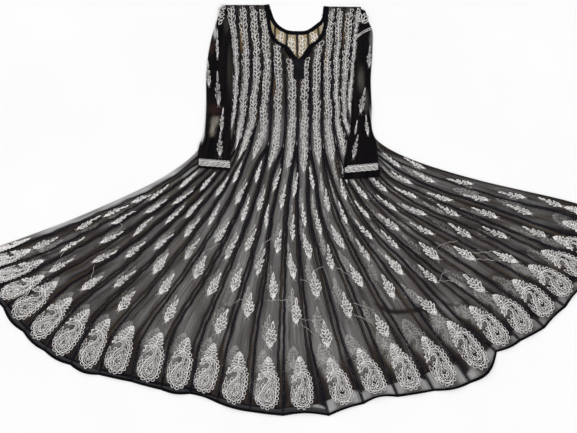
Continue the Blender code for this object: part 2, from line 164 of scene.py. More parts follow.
# Weaves and grains: threads this far apart in metres, and noises by their scale
CREPE_PITCH, BIAS_PITCH = 0.0011, 0.0012
WEAVE_DISTORTION = 1.5
CREPE_GRAIN, CREPE_GRAIN_SHARE = 900, 1.4
WEAVE_DEPTH, CREPE_BUMP, BIAS_BUMP = 0.0003, 0.5, 0.55
CLOTH_DRIFT, CLOTH_DRIFT_STRETCH = 7.0, (1.0, 0.55, 1.0)
TURNED_DRIFT, BIAS_DRIFT, FLOOR_DRIFT = 60.0, 45.0, 3.0
TINT_SCALE, TINT_SHARE, STREAK_SHARE = 0.6, 0.6, 0.4
CLOTH_STOPS, COTTON_STOPS = (0.36, 0.5, 0.64), (0.38, 0.5, 0.61)
COTTON_FINE, COTTON_FINE_SHARE = 300.0, 0.7
COTTON_BROAD, COTTON_BROAD_SHARE = 70.0, 0.3
COTTON_TWIST, COTTON_DEPTH, COTTON_BUMP = 1500.0, 0.0004, 0.6

# Where a mix node keeps its two colours and their mixture
MIX_FIRST, MIX_SECOND, MIX_RESULT = 6, 7, 2

# The studio: two soft lamps by strength, tilt, turn and softness, a white sky and a broad floor
KEY_LIGHT, FILL_LIGHT = (1.7, 32, 35, 50), (0.8, 40, 215, 70)
SKY_STRENGTH = 0.42
FLOOR_HALF = 6.0

# The photograph's frame, laid on the layout grid
PHOTO_WIDTH, PHOTO_HEIGHT = 577, 433
CAMERA_HEIGHT = 4.0
CAMERA_REACH = 20
SENSOR_WIDTH = 36.0

# Skirt seams from the left side edge to the right one, and how much shorter the back is there
Seam = namedtuple("Seam", "start hip thigh knee calf hem back_short")
SKIRT = (
    Seam((207, 121), (198, 150), (158, 180), (94, 210), (44, 230), (-14, 251), 3),
    Seam((207, 121), (200, 154), (160, 185), (100, 213), (44, 236), (-16, 259), 3),
    Seam((225, 135), (205, 157), (165, 186), (119, 215), (46, 252), (-15, 273), 3),
    Seam((225, 135), (209, 160), (175, 186), (122, 223), (60, 258), (-8, 290), 3),
    Seam((235, 130), (226, 150), (180, 193), (111, 243), (52, 278), (3, 308), 4),
    Seam((235, 130), (228, 155), (185, 200), (120, 253), (62, 291), (23, 332), 4),
    Seam((244, 130), (230, 160), (193, 203), (125, 268), (75, 309), (44, 351), 4),
    Seam((244, 130), (230, 168), (200, 208), (150, 264), (98, 316), (70, 365), 4),
    Seam((257, 122), (237, 168), (209, 215), (155, 285), (112, 336), (99, 375), 4),
    Seam((257, 122), (245, 163), (225, 210), (190, 268), (143, 336), (131, 382), 4),
    Seam((269, 141), (256, 168), (240, 210), (208, 275), (173, 335), (161, 390), 4),
    Seam((269, 141), (264, 170), (250, 217), (225, 281), (201, 340), (190, 394), 4),
    Seam((284, 143), (274, 172), (263, 218), (247, 280), (229, 340), (217, 403), 5),
    Seam((284, 143), (281, 172), (272, 220), (266, 275), (256, 340), (250, 412), 5),
    Seam((297, 140), (292, 175), (287, 220), (285, 280), (284, 340), (283, 416), 6),
    Seam((297, 140), (298, 175), (298, 220), (303, 285), (312, 350), (329, 416), 12),
    Seam((310, 145), (309, 175), (311, 220), (327, 285), (344, 345), (364, 404), 17),
    Seam((310, 145), (316, 178), (323, 220), (346, 275), (371, 335), (398, 397), 14),
    Seam((323, 142), (327, 175), (340, 220), (370, 280), (405, 340), (434, 391), 17),
    Seam((323, 142), (332, 178), (351, 220), (395, 280), (436, 335), (471, 383), 25),
    Seam((335, 135), (343, 177), (366, 222), (412, 270), (460, 320), (497, 352), 12),
    Seam((335, 135), (347, 178), (379, 222), (425, 262), (486, 308), (521, 341), 12),
    Seam((344, 130), (361, 180), (390, 212), (440, 248), (509, 295), (545, 328), 16),
    Seam((344, 130), (368, 180), (400, 207), (458, 240), (526, 279), (566, 307), 13),
    Seam((352, 130), (378, 174), (415, 203), (475, 230), (547, 267), (586, 284), 12),
    Seam((352, 130), (386, 174), (425, 195), (480, 218), (556, 249), (602, 262), 10),
    Seam((360, 135), (392, 166), (432, 187), (490, 207), (560, 232), (609, 243), 8),
    Seam((360, 135), (396, 160), (440, 178), (495, 196), (562, 213), (611, 226), 6),
    Seam((371, 122), (378, 141), (413, 160), (478, 180), (564, 200), (605, 213), 4),
)

# Bodice seams, each above its godet: x where it meets the top edge in front and behind, then below
BodiceSeam = namedtuple("BodiceSeam", "front_top back_top chest waist")
BODICE = (
    BodiceSeam(225, 225, (232.5, 60), (231.5, 108)),
    BodiceSeam(236, 236, (240, 65), (237, 110)),
    BodiceSeam(247, 247, (251, 65), (247, 110)),
    BodiceSeam(258, 258, (262, 65), (258, 105)),
    BodiceSeam(271, 275, (273, 70), (271, 105)),
    BodiceSeam(282, 287, (285, 75), (286, 110)),
    BodiceSeam(298, 297, (298, 90), (298, 115)),
    BodiceSeam(313, 308, (310, 75), (310, 110)),
    BodiceSeam(326, 318, (322, 65), (322, 105)),
    BodiceSeam(335, 335, (332, 65), (333, 105)),
    BodiceSeam(344, 344, (340, 65), (340, 105)),
    BodiceSeam(355, 355, (350, 65), (347, 100)),
    BodiceSeam(361, 361, (355.5, 65), (352.5, 105)),
)
LEFT_UNDERARM = (212, 112)
RIGHT_UNDERARM = (369, 108)

# The panels' top edges: left shoulder, neck and right shoulder
FRONT_TOP = (
    (220, 5), (264.5, 5), (266.3, 17), (268.2, 29.5), (271, 37), (276, 43.5), (282, 47), (287, 50),
    (291.5, 56.5), (298, 64), (304.5, 58), (309, 51), (313, 46.5), (318, 43.5), (323, 37),
    (326, 30), (328, 15), (328.5, 6.5), (366, 7),
)
BACK_TOP = (
    (220, 5), (266, 5), (269, 15), (272, 22), (277, 28), (286, 33.3), (297, 34.5), (308, 33.5),
    (318, 27), (324.5, 20.5), (327, 6.5), (366, 7),
)

TOP_STEPS = 4

# Each kali: its fold height and hem bulge; how far up its hem the paisley's tip and the sprigs lie,
# and how far the paisley's bulb and then its tip stand off the middle, to the right, in squares
Kali = namedtuple("Kali", "fold bulge tip shift lean sprigs")
KALIS = (
    Kali(0.0010, 0, 49, 0, 0, ()),
    Kali(0.0030, 0.5, 50, 0, 0, (65, 113, 143, 173)),
    Kali(0.0025, 0.5, 60, 0, 1, (92, 149, 194)),
    Kali(0.0040, 1, 53, -1, 2, (72, 130, 184, 226)),
    Kali(0.0030, 3, 59, -3, 0, (112, 161, 210)),
    Kali(0.0045, 2, 59, -3, 3, (83, 138, 191, 238)),
    Kali(0.0035, 2, 59, -3, 3, (105, 159, 204)),
    Kali(0.0050, 3, 58, -1, 0, (81, 132, 180, 231)),
    Kali(0.0040, 0, 57, -2, 1, (109, 153, 194, 242)),
    Kali(0.0055, 0, 57, 0, 2, (80, 132, 174, 217)),
    Kali(0.0045, 2, 57, 0, 1, (115, 156, 197, 237)),
    Kali(0.0050, -1.5, 57, -2, 2, (79, 123, 166, 207)),
    Kali(0.0060, 1, 57, -1, 0, (103, 148, 194, 232)),
    Kali(0.0045, 0, 58, 0, -1, (79, 128, 173, 218)),
    Kali(0.0060, -3, 61, -2, 2, (105, 150, 189, 232)),
    Kali(0.0050, -1.5, 56, 2, -4, (78, 129, 168, 200)),
    Kali(0.0065, -4, 58, 2, -5, (101, 152, 189, 234)),
    Kali(0.0055, 0, 57, 2, -2, (76, 132, 175, 214)),
    Kali(0.0070, 2.5, 60, 1, 1, (119, 164, 206)),
    Kali(0.0080, 7, 60, 2, 2, (84, 136, 183, 228)),
    Kali(0.0060, 1.5, 57, 2, 2, (109, 160, 201, 243)),
    Kali(0.0065, 0, 57, 1, 2, (78, 133, 183, 226)),
    Kali(0.0050, -1.5, 58, 1, 2, (111, 161, 204)),
    Kali(0.0060, -2, 57, 1, 2, (80, 133, 183, 227)),
    Kali(0.0040, 1, 58, 0, 3, (107, 159, 205)),
    Kali(0.0045, 1, 56, 0, 2, (74, 127, 175, 218)),
    Kali(0.0030, 0.5, 50, 0, 1, (94, 139, 195, 232)),
    Kali(0.0025, 0, 46, 0, 0, (60, 99, 153, 202)),
)
LAST_KALI = len(KALIS)
LEFT_BACK_SIDE = 3
RIGHT_BACK_SIDE = 27

# The back's seams lie this share of a panel left of the front's, more towards the right
BACK_SHIFT = 0.18
BACK_SHIFT_MORE = 0.17
BACK_SHIFT_FROM = 16
BACK_SHIFT_OVER = 6

# How far down the grid each full panel's band of leaves runs
VINE_END = {
    4: 128, 6: 147, 8: 158, 10: 158, 12: 168, 14: 168,
    16: 172, 18: 163, 20: 161, 22: 158, 24: 137, 26: 120,
}

# Sleeve sections from head to cuff: its two edges, and their heights above the table
Section = namedtuple("Section", "outer inner outer_height inner_height")
LEFT_SLEEVE = (
    Section((220.5, 8), (225.8, 6), 0.0032, 0.0036),
    Section((217, 20), (228.0, 20), 0.0020, 0.0034),
    Section((212, 35), (230.5, 35), 0.0, 0.0034),
    Section((208, 55), (232.8, 55), 0.0, 0.0034),
    Section((206, 78), (233.0, 78), 0.0, 0.0034),
    Section((206, 97), (232.6, 97), 0.0, 0.0034),
    Section((206, 109), (231.8, 109), 0.0033, 0.0034),
    Section((204.5, 128), (231, 130), 0.0035, 0.0036),
    Section((199, 146), (231, 148), 0.0038, 0.0038),
    Section((197.5, 157), (230.5, 160), 0.0042, 0.0040),
    Section((198, 168), (230, 171), 0.0045, 0.0042),
)
RIGHT_SLEEVE = (
    Section((365.5, 11), (360.2, 9), 0.0032, 0.0036),
    Section((368.5, 21), (359.4, 20), 0.0020, 0.0034),
    Section((373, 33), (358.0, 35), 0.0, 0.0034),
    Section((372.5, 55), (355.8, 55), 0.0, 0.0034),
    Section((371, 78), (353.8, 78), 0.0, 0.0034),
    Section((371.5, 97), (352.2, 97), 0.0, 0.0034),
    Section((372, 109), (351.2, 110), 0.0033, 0.0034),
    Section((372, 128), (350, 130), 0.0035, 0.0036),
    Section((376.5, 143), (346.5, 147), 0.0038, 0.0038),
    Section((378, 158), (344, 161), 0.0042, 0.0040),
    Section((381, 177), (343, 180), 0.0047, 0.0044),
)
SLEEVE_ROWS = 6
SLEEVE_RUN = 13

# Small slack waves in a sleeve's upper layers, and the roundness of its edges
SLEEVE_WAVE, SLEEVE_SWELL = 0.0007, 0.0005
SLEEVE_EDGE, SLEEVE_EDGE_MORE = 0.0006, 0.0004

# A crease's darkness is denser cloth and painted shade along its line; a negative one only makes it sheerer
# Creases listed over the front: the line each follows, its height and width, how dark it is
Crease = namedtuple("Crease", "path height width dark")
CREASES = (
    Crease(((374, 303), (384, 309), (395, 312), (412, 311), (425, 310), (431, 324)), 0.0022, 1.5, 0.75),
    Crease(((221, 304), (226, 307), (232, 308)), 0.0012, 1.4, 0.30),
    Crease(((236, 300), (230, 315), (233, 328), (227, 345)), 0.0014, 1.8, 0.26),
    Crease(((0, 253), (30, 243), (80, 226), (103, 218), (135, 202)), 0.0016, 2.6, 0.34),
    Crease(((28, 255), (38, 254), (48, 258), (56, 259)), 0.0014, 1.6, 0.24),
    Crease(((4, 281), (16, 277), (30, 276), (44, 268)), 0.0016, 2.4, 0.34),
    Crease(((92, 322), (98, 313), (108, 310), (130, 297)), 0.0016, 1.9, 0.26),
    Crease(((150, 293), (166, 272), (181, 258), (200, 232)), 0.0020, 2.6, 0.20),
    Crease(((128, 238), (150, 219), (172, 204), (186, 190)), 0.0012, 2.0, 0.22),
    Crease(((168, 346), (176, 322), (186, 303), (198, 276)), 0.0018, 2.2, 0.16),
    Crease(((250, 352), (252, 322), (257, 296), (262, 270)), 0.0016, 2.4, 0.14),
    Crease(((276, 330), (277, 300), (279, 268)), 0.0012, 1.7, 0.14),
    Crease(((303, 356), (299, 322), (297, 290)), 0.0018, 2.8, 0.16),
    Crease(((340, 330), (331, 300), (323, 272), (318, 246)), 0.0014, 2.0, 0.18),
    Crease(((378, 330), (369, 307), (357, 284), (350, 264)), 0.0016, 2.2, 0.16),
    Crease(((404, 300), (392, 281), (378, 264)), 0.0012, 1.8, 0.20),
    Crease(((440, 302), (452, 305), (462, 304), (470, 298)), 0.0016, 1.8, 0.26),
    Crease(((470, 268), (484, 279), (498, 284), (506, 292)), 0.0018, 2.0, 0.30),
    Crease(((486, 278), (494, 275), (504, 273)), 0.0012, 1.5, 0.16),
    Crease(((505, 246), (520, 251), (533, 254), (545, 262)), 0.0016, 2.0, 0.30),
    Crease(((430, 240), (447, 253), (462, 264)), 0.0012, 1.9, 0.18),
    Crease(((400, 236), (417, 243), (437, 247)), 0.0010, 1.7, 0.16),
    Crease(((470, 214), (492, 220), (520, 226)), 0.0012, 2.0, 0.22),
    Crease(((210, 176), (200, 190), (188, 204)), 0.0010, 1.6, 0.22),
    Crease(((246, 178), (240, 196), (234, 214)), 0.0010, 1.6, 0.16),
    Crease(((182, 181), (190, 174), (199, 166)), 0.0, 4.6, -0.55),
    Crease(((373, 139), (385, 149), (400, 155), (418, 162), (446, 170), (484, 180)), 0.0, 2.6, 0.85),
    Crease(((378, 155), (386, 164), (396, 172)), 0.0, 3.4, -0.30),
)

# Folds along a piece: how far across it each lies, between which heights above the hem, and how dark, as
# denser cloth with painted shade
Fold = namedtuple("Fold", "kali share low high dark")
FOLDS = (
    Fold(1, 0.55, 205, 290, 0.30), Fold(2, 0.55, 60, 150, 0.30), Fold(3, 0.35, 50, 130, 0.34),
    Fold(3, 0.70, 100, 215, 0.26),
    Fold(4, 0.30, 55, 110, 0.36), Fold(4, 0.72, 90, 190, 0.30), Fold(5, 0.30, 60, 160, 0.32),
    Fold(5, 0.66, 60, 120, 0.30), Fold(6, 0.26, 62, 118, 0.34), Fold(6, 0.74, 100, 230, 0.26),
    Fold(7, 0.34, 60, 140, 0.28), Fold(7, 0.72, 62, 100, 0.30), Fold(8, 0.22, 60, 130, 0.26),
    Fold(8, 0.76, 85, 220, 0.22), Fold(9, 0.30, 58, 150, 0.22), Fold(10, 0.24, 62, 110, 0.24),
    Fold(11, 0.28, 60, 175, 0.22), Fold(11, 0.74, 70, 120, 0.18), Fold(12, 0.22, 90, 190, 0.20),
    Fold(13, 0.70, 60, 150, 0.18), Fold(14, 0.20, 90, 180, 0.16), Fold(15, 0.22, 62, 130, 0.20),
    Fold(15, 0.62, 110, 200, 0.14), Fold(16, 0.78, 85, 160, 0.18), Fold(17, 0.24, 66, 140, 0.22),
    Fold(18, 0.76, 66, 120, 0.26), Fold(18, 0.24, 120, 220, 0.16), Fold(19, 0.26, 75, 160, 0.26),
    Fold(20, 0.74, 75, 150, 0.30), Fold(20, 0.22, 120, 220, 0.20), Fold(21, 0.30, 70, 140, 0.28),
    Fold(21, 0.76, 120, 220, 0.20), Fold(22, 0.26, 66, 180, 0.30), Fold(23, 0.68, 66, 130, 0.30),
    Fold(23, 0.28, 110, 210, 0.22), Fold(24, 0.30, 66, 190, 0.28), Fold(24, 0.74, 130, 240, 0.24),
    Fold(25, 0.32, 62, 150, 0.30), Fold(26, 0.68, 60, 170, 0.30), Fold(27, 0.40, 55, 150, 0.30),
    Fold(28, 0.50, 60, 220, 0.28),
)
FOLD_WIDTH = 1.5
FOLD_SWAY, FOLD_SWAY_WAVE = 0.8, 0.13
FOLD_STARTS_OVER, FOLD_ENDS_OVER = 15, 25

# How much more the cloth gathers towards the photograph's left and right
SIDE_GATHER, SIDE_FROM, SIDE_REACH = 0.08, 60.0, 150.0

# The placket tab under the point of the neck
TAB_LEFT, TAB_RIGHT, TAB_UPPER, TAB_LOWER = 293.5, 304, 59, 79
TAB_LIFT = 0.0003
TAB_ROWS = 14

# Sprigs on the sleeves, by the places of their two ends on the grid, and their widths in squares
SleeveSprig = namedtuple("SleeveSprig", "low high width")
LEFT_SLEEVE_SPRIGS = (
    SleeveSprig((217.6, 58), (217.2, 31), 2.6),
    SleeveSprig((209.2, 86), (207.6, 62), 4.4),
    SleeveSprig((218.8, 105), (217.2, 73), 5.2),
    SleeveSprig((221.5, 131), (223, 109), 3.6),
    SleeveSprig((220, 156), (220.2, 133), 5.4),
)
RIGHT_SLEEVE_SPRIGS = (
    SleeveSprig((369.2, 67), (369.6, 47), 4.6),
    SleeveSprig((360.6, 113), (364.6, 89), 5.2),
    SleeveSprig((367.8, 135), (365.6, 116), 3.4),
    SleeveSprig((353.2, 158), (357.4, 136), 4.4),
    SleeveSprig((355, 134), (357, 121), 1.8),
)

# Petals at the sleeve heads: the foot of each, the way it points in degrees, its length and width
LEFT_HEAD_PETALS = (
    ((224, 12), -62, 6.0, 3.0), ((224.5, 15), -88, 6.0, 3.0), ((224, 18), -112, 6.0, 3.0),
    ((225, 9), -35, 4.0, 2.6), ((222, 21), -140, 5.0, 2.6), ((219, 14), 150, 3.5, 2.4),
)
RIGHT_HEAD_PETALS = (
    ((359, 22), -22, 7.5, 3.0), ((360, 22), 2, 9.0, 3.2), ((361, 22), 24, 9.5, 3.2),
    ((362, 22), 46, 9.0, 3.0), ((362, 23), 68, 7.5, 2.8), ((359, 14), -10, 6.0, 2.8),
)

# Two lines of stitches under the right one, the second this far below the first
RIGHT_HEAD_BAND = ((356.5, 36.5), (363, 31.5), (371.5, 27.5))
HEAD_BAND_DROP, HEAD_BAND_STEPS = 1.7, 8

# A cuff's band, from its left end to its right: wavy rows of stitches, and loops along its upper edge
LEFT_CUFF, RIGHT_CUFF = ((198.8, 160.6), (230.2, 163.0)), ((378, 165.0), (344.6, 168.0))
CUFF_ROWS, CUFF_DROP, CUFF_STEP = 4, 1.42, 0.45
CUFF_WAVE, CUFF_WAVE_PITCH, CUFF_WAVE_TURN = 0.34, 5.2, 1.2
CUFF_LOOP, CUFF_LOOP_PITCH = (2.0, 2.2, 4), 3.1

# Places where a sleeve's cloth lies single and lets the ground through: middle, reach and strength
Patch = namedtuple("Patch", "x y wide tall strength")
PATCH_EDGE = 2.5
LEFT_PATCHES = (
    Patch(215.2, 33, 2.6, 9, 0.52), Patch(203, 135, 4.4, 12, 0.62),
    Patch(229, 62, 1.6, 26, 0.20), Patch(211, 52, 2.6, 8, 0.16),
)
RIGHT_PATCHES = (
    Patch(371, 42, 2.6, 15, 0.44), Patch(370.5, 119, 2.2, 17, 0.50), Patch(361, 80, 3.6, 11, 0.34),
    Patch(365, 98, 2.2, 10, 0.34), Patch(351, 128, 2.0, 12, 0.22),
)

# Where the cloth is toned warm: inside the neck, in streaks beside some seams, and on the left sleeve
BACK_WARM = (Patch(298, 34, 56, 34, 0.95),)
FRONT_WARM = (
    Patch(241, 38, 1.6, 17, 0.8), Patch(326, 60, 1.8, 10, 0.8), Patch(343, 26, 2.0, 17, 0.7),
    Patch(273.5, 86, 2.2, 12, 0.5), Patch(257, 119, 2.0, 9, 0.5), Patch(311, 30, 2.0, 10, 0.5),
)
SLEEVE_WARM = (Patch(211, 47, 4.5, 7, 0.9), Patch(215, 109, 8, 5, 0.8))

# Painted highlight: pale patches of colour where a sleeve lies slack
SLEEVE_PAINTED_HIGHLIGHTS = (
    Patch(214.3, 122.5, 3.8, 6.0, 0.62), Patch(212.6, 131, 2.8, 5.5, 0.78),
    Patch(218.0, 119.5, 2.6, 3.6, 0.45), Patch(226.5, 24, 3, 9, 0.12), Patch(361, 80, 3.4, 13, 0.22),
    Patch(366, 102, 2.4, 12, 0.20), Patch(229.5, 70, 1.6, 26, 0.12),
)

# The front's left edge is worn this much thinner
WORN_EDGE = 0.16

# Loose threads between neighbouring sprigs, where the needle went from one to the next
FLOAT_THREADS = (
    ((265, 301), (275, 300), (284, 300), (293, 298)),
    ((297, 318), (308, 320), (320, 321)),
    ((298, 322), (308, 329), (316, 336)),
    ((335, 267), (343, 271), (355, 279)),
    ((352, 303), (361, 305), (370, 308)),
    ((352, 313), (364, 319), (375, 325)),
    ((300, 279), (305, 281), (311, 283)),
    ((311, 271), (318, 269), (324, 266)),
    ((437, 284), (445, 272), (458, 272), (470, 275)),
    ((438, 281), (452, 281), (466, 285)),
    ((472, 253), (486, 252), (500, 250)),
    ((476, 259), (490, 260), (504, 260)),
    ((436, 247), (446, 243), (458, 241)),
    ((95, 265), (92, 276), (93, 281), (89, 287)),
    ((118, 222), (122, 226), (119, 231)),
    ((63, 247), (64, 252), (61, 257)),
    ((233, 303), (240, 300), (248, 299)),
    ((262, 245), (268, 240), (272, 237)),
    ((205, 252), (213, 247), (221, 243)),
)

# Thread work: each stitch's width and height in metres, beaded to a waist and thin at its ends, with
# factors for the back's threads, which show through thicker, and for the sleeves', which are finer
THREAD = 0.0031
FINE_THREAD = 0.0024
VINE_THREAD = 0.0020
FAINT_THREAD = 0.0018
FLOAT_THREAD = 0.0014
THREAD_HEIGHT = 0.0012
BACK_THICKER = 1.35
SLEEVE_FINER = 0.72
STITCH_WAIST, STITCH_END = 0.55, 0.4
STITCH_SECTION = ((-1.0, 0.0), (-0.5, 1.0), (0.5, 1.0), (1.0, 0.0))
STITCH_STEP = 1.15
HAND_WAVER, HAND_WAVES, HAND_CROSS_WAVES = 0.36, (1.9, 1.6), (1.2, -1.4)
FLOAT_WAVER, FLOAT_WAVE, FLOAT_STEPS = 0.55, 9.0, 6
FLOAT_LIFT = 0.0022

# A paisley's spine from its bulb to its curled tip, and its half width there, in squares
PAISLEY_SPINE = ((0, 10), (2.4, 18.5), (5.0, 26.5), (4.2, 33.4), (-1.2, 36.2), (-6.6, 34.4), (-8.6, 29.6))
PAISLEY_HALF = (9.2, 7.4, 4.6, 3.5, 3.0, 2.3, 1.1)
PAISLEY_LOW, PAISLEY_HIGH = -2.3, 56.0
PAISLEY_WIDTH = 26.0
WIDEST_PAISLEY, NARROWER_PAISLEY = 0.89, 0.83
PAISLEY_ROOM = 0.76
PAISLEY_BASE = 5.0
PAISLEY_WIDEST_AT = 9

# Its lines, by how far inside its edge each runs, a zigzag between them, and leaves in its bulb
PAISLEY_LINES = (0.0, 1.8, 5.4)
THINNEST_LINE = 0.5
SPINE_STEPS, BULB_POINTS = 4, 13
ZIGZAG_INSET, ZIGZAG_REACH, ZIGZAG_PITCH = 3.6, 0.75, 1.3
CURL_FROM = 11
INNER_LEAF = 2.6
BULB_LEAVES = ((1.0, 12.5, 10, 8.0), (-0.7, 6.0, -26, 6.0), (0.9, 6.0, 26, 6.0))

# Faint leaves in the hollow to its left, and loops round its edge, smaller round the curl
HOLLOW_LEAVES = ((-10.8, 4.0, -16, 9.0), (-12.0, 11.0, -8, 8.5), (-11.4, 18.0, 0, 7.5))
SCALLOP_PITCH = 4.9
SCALLOP, SMALL_SCALLOP = (3.6, 4.5), (1.6, 3.0)
SCALLOPS_OUTSIDE, SCALLOPS_UP_LEFT = 0.3, 6
UNDER_CROWN = 36.5
CROWN_LEFT, CROWN_RIGHT = -7.5, 7.5
CURL_BOTTOM = 25.0

# Its crown: pairs of petals by lean, length and height up the stem, with a single one on top
CROWN_FOOT = (0.2, 38.6)
CROWN_STEM = 12.0
CROWN_TIP = 6.2
CROWN_WIDTH, CROWN_TIP_WIDTH = 3.6, 2.88
CROWN_STEM_POINTS = 9
CROWN_PETALS = ((84, 8.8, 0.4), (70, 8.4, 3.2), (56, 7.2, 6.0), (44, 6.0, 8.8), (30, 4.8, 11.4))

# A sprig, this long and wide, has leaves by foot, lean, length and width; a slim one has single leaves
SPRIG_LENGTH, SPRIG_WIDTH = 24.0, 9.8
SPRIG_STALK, SPRIG_FOOT, SPRIG_FOOT_POINTS = 1.1, 4.5, 5
LOOSE_END = ((0.5, 0.5), (1.6, -1.2), (2.8, -2.2))
LEAF_UNEVEN, LEAF_OFF_STALK, LEAF_UP_STALK = 0.10, 0.3, 0.4
PETAL_STEPS, PETAL_EASE = 5, 0.8
VEIN = (0.2, 0.5, 0.8)
SPRIG_LEAVES = (
    (15.4, 0, 9.4, 2.7), (13.2, 34, 5.6, 2.8), (9.2, 48, 6.4, 3.2), (5.2, 50, 6.4, 3.2), (2.2, 38, 4.6, 2.4),
)
SLIM_LEAVES = (
    (15.6, 4, 9.0, 2.6), (13.4, -36, 4.8, 2.8), (11.4, 42, 5.4, 3.0), (8.8, -52, 6.2, 3.1),
    (6.6, 54, 6.4, 3.1), (4.2, -54, 6.2, 3.1), (2.2, 50, 5.6, 3.0), (1.0, -40, 4.2, 2.6),
)
SLIM_BELOW = 6.6
SPRIG_ROOM, SPRIG_MARGIN = 0.42, 0.4
WIDEST_SPRIG, SLIMMEST_SPRIG = 10.2, 3.6
TALLEST_SPRIG, SHORTER_BY, SHORTER_FROM, SHORTER_OVER = 25, 4, 150, 90
SPRIG_WIDTH_VARIES, SPRIG_LENGTH_VARIES, SPRIG_SWAYS = 0.07, 1.2, 6

# The bands of leaves: leaves up each side, how far apart, how long, and how far they lean out
VINE_PITCH = 3.8
VINE_LEAF = 5.2
VINE_LEAN = 34
WIDEST_VINE = 6.3
VINE_ROOM = 0.54
VINE_TOP_SWELL, VINE_TOP_REACH = 0.30, 60
VINE_TIP, VINE_TAPER = 0.42, 24
VINE_SHORT = 0.2
VINE_LUMP = 7.5
VINE_LUMPS = (0.20, 0.10, 0.12)
VINE_UNEVEN = 0.4
VINE_LEAF_OUT, VINE_LEAF_WIDE, VINE_LEAF_OFF = 0.32, 0.36, 0.02
VINE_LEAN_VARIES = 9
VINE_STEM_BELOW, VINE_STEM_SHORT, VINE_STEM_PITCH = 3, 1, 2.2
VINE_SWAY, VINE_SWAY_WAVE = 0.45, 0.19
VINE_SHIFT, VINE_SHIFT_TURN = 0.8, 2.1
VINE_PAST_NECK = {10: 13, 20: 11}


# Seams and pieces, as in the model

def curve(points, steps, before=None, after=None):
    """A smooth run through the points, with steps[i] stretches after point i; the ends may be steered."""
    first, second = Vector(points[0]), Vector(points[1])
    last, last_but_one = Vector(points[-1]), Vector(points[-2])
    knots = [Vector(before) if before else 2 * first - second]
    knots += [Vector(point) for point in points]
    knots.append(Vector(after) if after else 2 * last - last_but_one)
    run = [knots[1]]
    for i, count in enumerate(steps):
        a, b, c, d = knots[i : i + 4]
        for step in range(1, count + 1):
            t = step / count
            bend = (2 * a - 5 * b + 4 * c - d) * t * t + (3 * b - a - 3 * c + d) * t**3
            run.append(b + ((c - a) * t + bend) / 2)
    return run


def smooth_line(points, steps):
    """A smooth run through the points as an array, with as many steps between each two."""
    return np.array([tuple(point) for point in curve(points, [steps] * (len(points) - 1))])


def seed_of(name):
    """A number of its own for each name, so that no two pieces look alike."""
    return sum(map(ord, name))


def sideways(path, distance):
    """The path moved by this many squares at right angles, to the right for one that runs down."""
    moved = []
    for i, point in enumerate(path):
        along = (path[min(i + 1, len(path) - 1)] - path[max(i - 1, 0)]).normalized()
        moved.append(point + distance * Vector((along.y, -along.x)))
    return moved


def mitred(path, distance):
    """The path moved at right angles with its stretches kept parallel, so that corners stay sharp."""
    moved = []
    for i, point in enumerate(path):
        before = (point - path[i - 1]).normalized() if i else None
        after = (path[i + 1] - point).normalized() if i + 1 < len(path) else None
        before, after = before or after, after or before
        along = (before + after).normalized()
        stretch = distance * min(1 / along.dot(before), LONGEST_MITRE)
        moved.append(point + stretch * Vector((along.y, -along.x)))
    return moved


def height_of(line, x):
    """y of a line of points at x."""
    xs, ys = zip(*line)
    return float(np.interp(x, xs, ys))


def rounded_neck(line):
    """A top edge with its neck drawn as smooth curves, sharp only at the point of its V."""
    neck = line[1:-1]
    lowest = max(range(len(neck)), key=lambda i: neck[i][1])
    sharp = neck[lowest][1] > NECK_POINT_BELOW
    runs = (neck[: lowest + 1], neck[lowest:]) if sharp else (neck,)
    points = [line[0]]
    for run in runs:
        bend = [tuple(point) for point in curve(run, [TOP_STEPS] * (len(run) - 1))]
        points += bend[1:] if len(points) > 1 else bend
    return (*points, line[-1])


def slacken(run, number, back):
    """A seam that lies in small slack waves between its ends."""
    steps = [(b - a).length for a, b in zip(run, run[1:])]
    total = sum(steps)
    if number in (0, LAST_KALI):
        return run
    slack = LEFT_SLACK + (RIGHT_SLACK - LEFT_SLACK) * min(number / SLACK_LEFT_SEAMS, 1)
    wave = SLACK_WAVE * (1 + SLACK_WAVE_VARIES * math.sin(number * 1.7))
    phase = number * 2.4 + (1.3 if back else 0)
    eased = []
    run_so_far = 0
    for i, point in enumerate(run):
        along = (run[min(i + 1, len(run) - 1)] - run[max(i - 1, 0)]).normalized()
        fade = math.sin(math.pi * min(run_so_far / total, 1)) ** SLACK_EASE
        turn = math.sin(2 * math.pi * run_so_far / wave + phase)
        turn += SHORT_WAVE_SHARE * math.sin(2 * math.pi * run_so_far / wave * SHORT_WAVES + 2 * phase)
        eased.append(point + SLACK_REACH * slack * fade * turn * Vector((along.y, -along.x)))
        run_so_far += steps[i] if i < len(steps) else 0
    return eased


def back_station(i, name):
    """A station of the back's seam i, between the front's seams i and i - 1."""
    more = min(max((i - BACK_SHIFT_FROM) / BACK_SHIFT_OVER, 0), 1)
    here, neighbour = Vector(getattr(SKIRT[i], name)), Vector(getattr(SKIRT[i - 1], name))
    return here.lerp(neighbour, BACK_SHIFT + BACK_SHIFT_MORE * more)


def skirt_seam(i, back):
    """Seam i from its godet's point to the hem."""
    seam = SKIRT[i]
    names = ("hip", "thigh", "knee", "calf", "hem")
    if back and i not in (0, 1, LAST_KALI):
        stations = [back_station(i, name) for name in names]
    else:
        stations = [Vector(getattr(seam, name)) for name in names]
    if back:
        upward = (stations[-2] - stations[-1]).normalized()
        stations[-1] = stations[-1] + seam.back_short * upward
    if i < 2:
        above = LEFT_UNDERARM
    elif i == LAST_KALI:
        above = RIGHT_UNDERARM
    else:
        above = BODICE[i // 2 - 1].waist
    return slacken(curve([seam.start, *stations], SKIRT_STEPS, before=above), i, back)


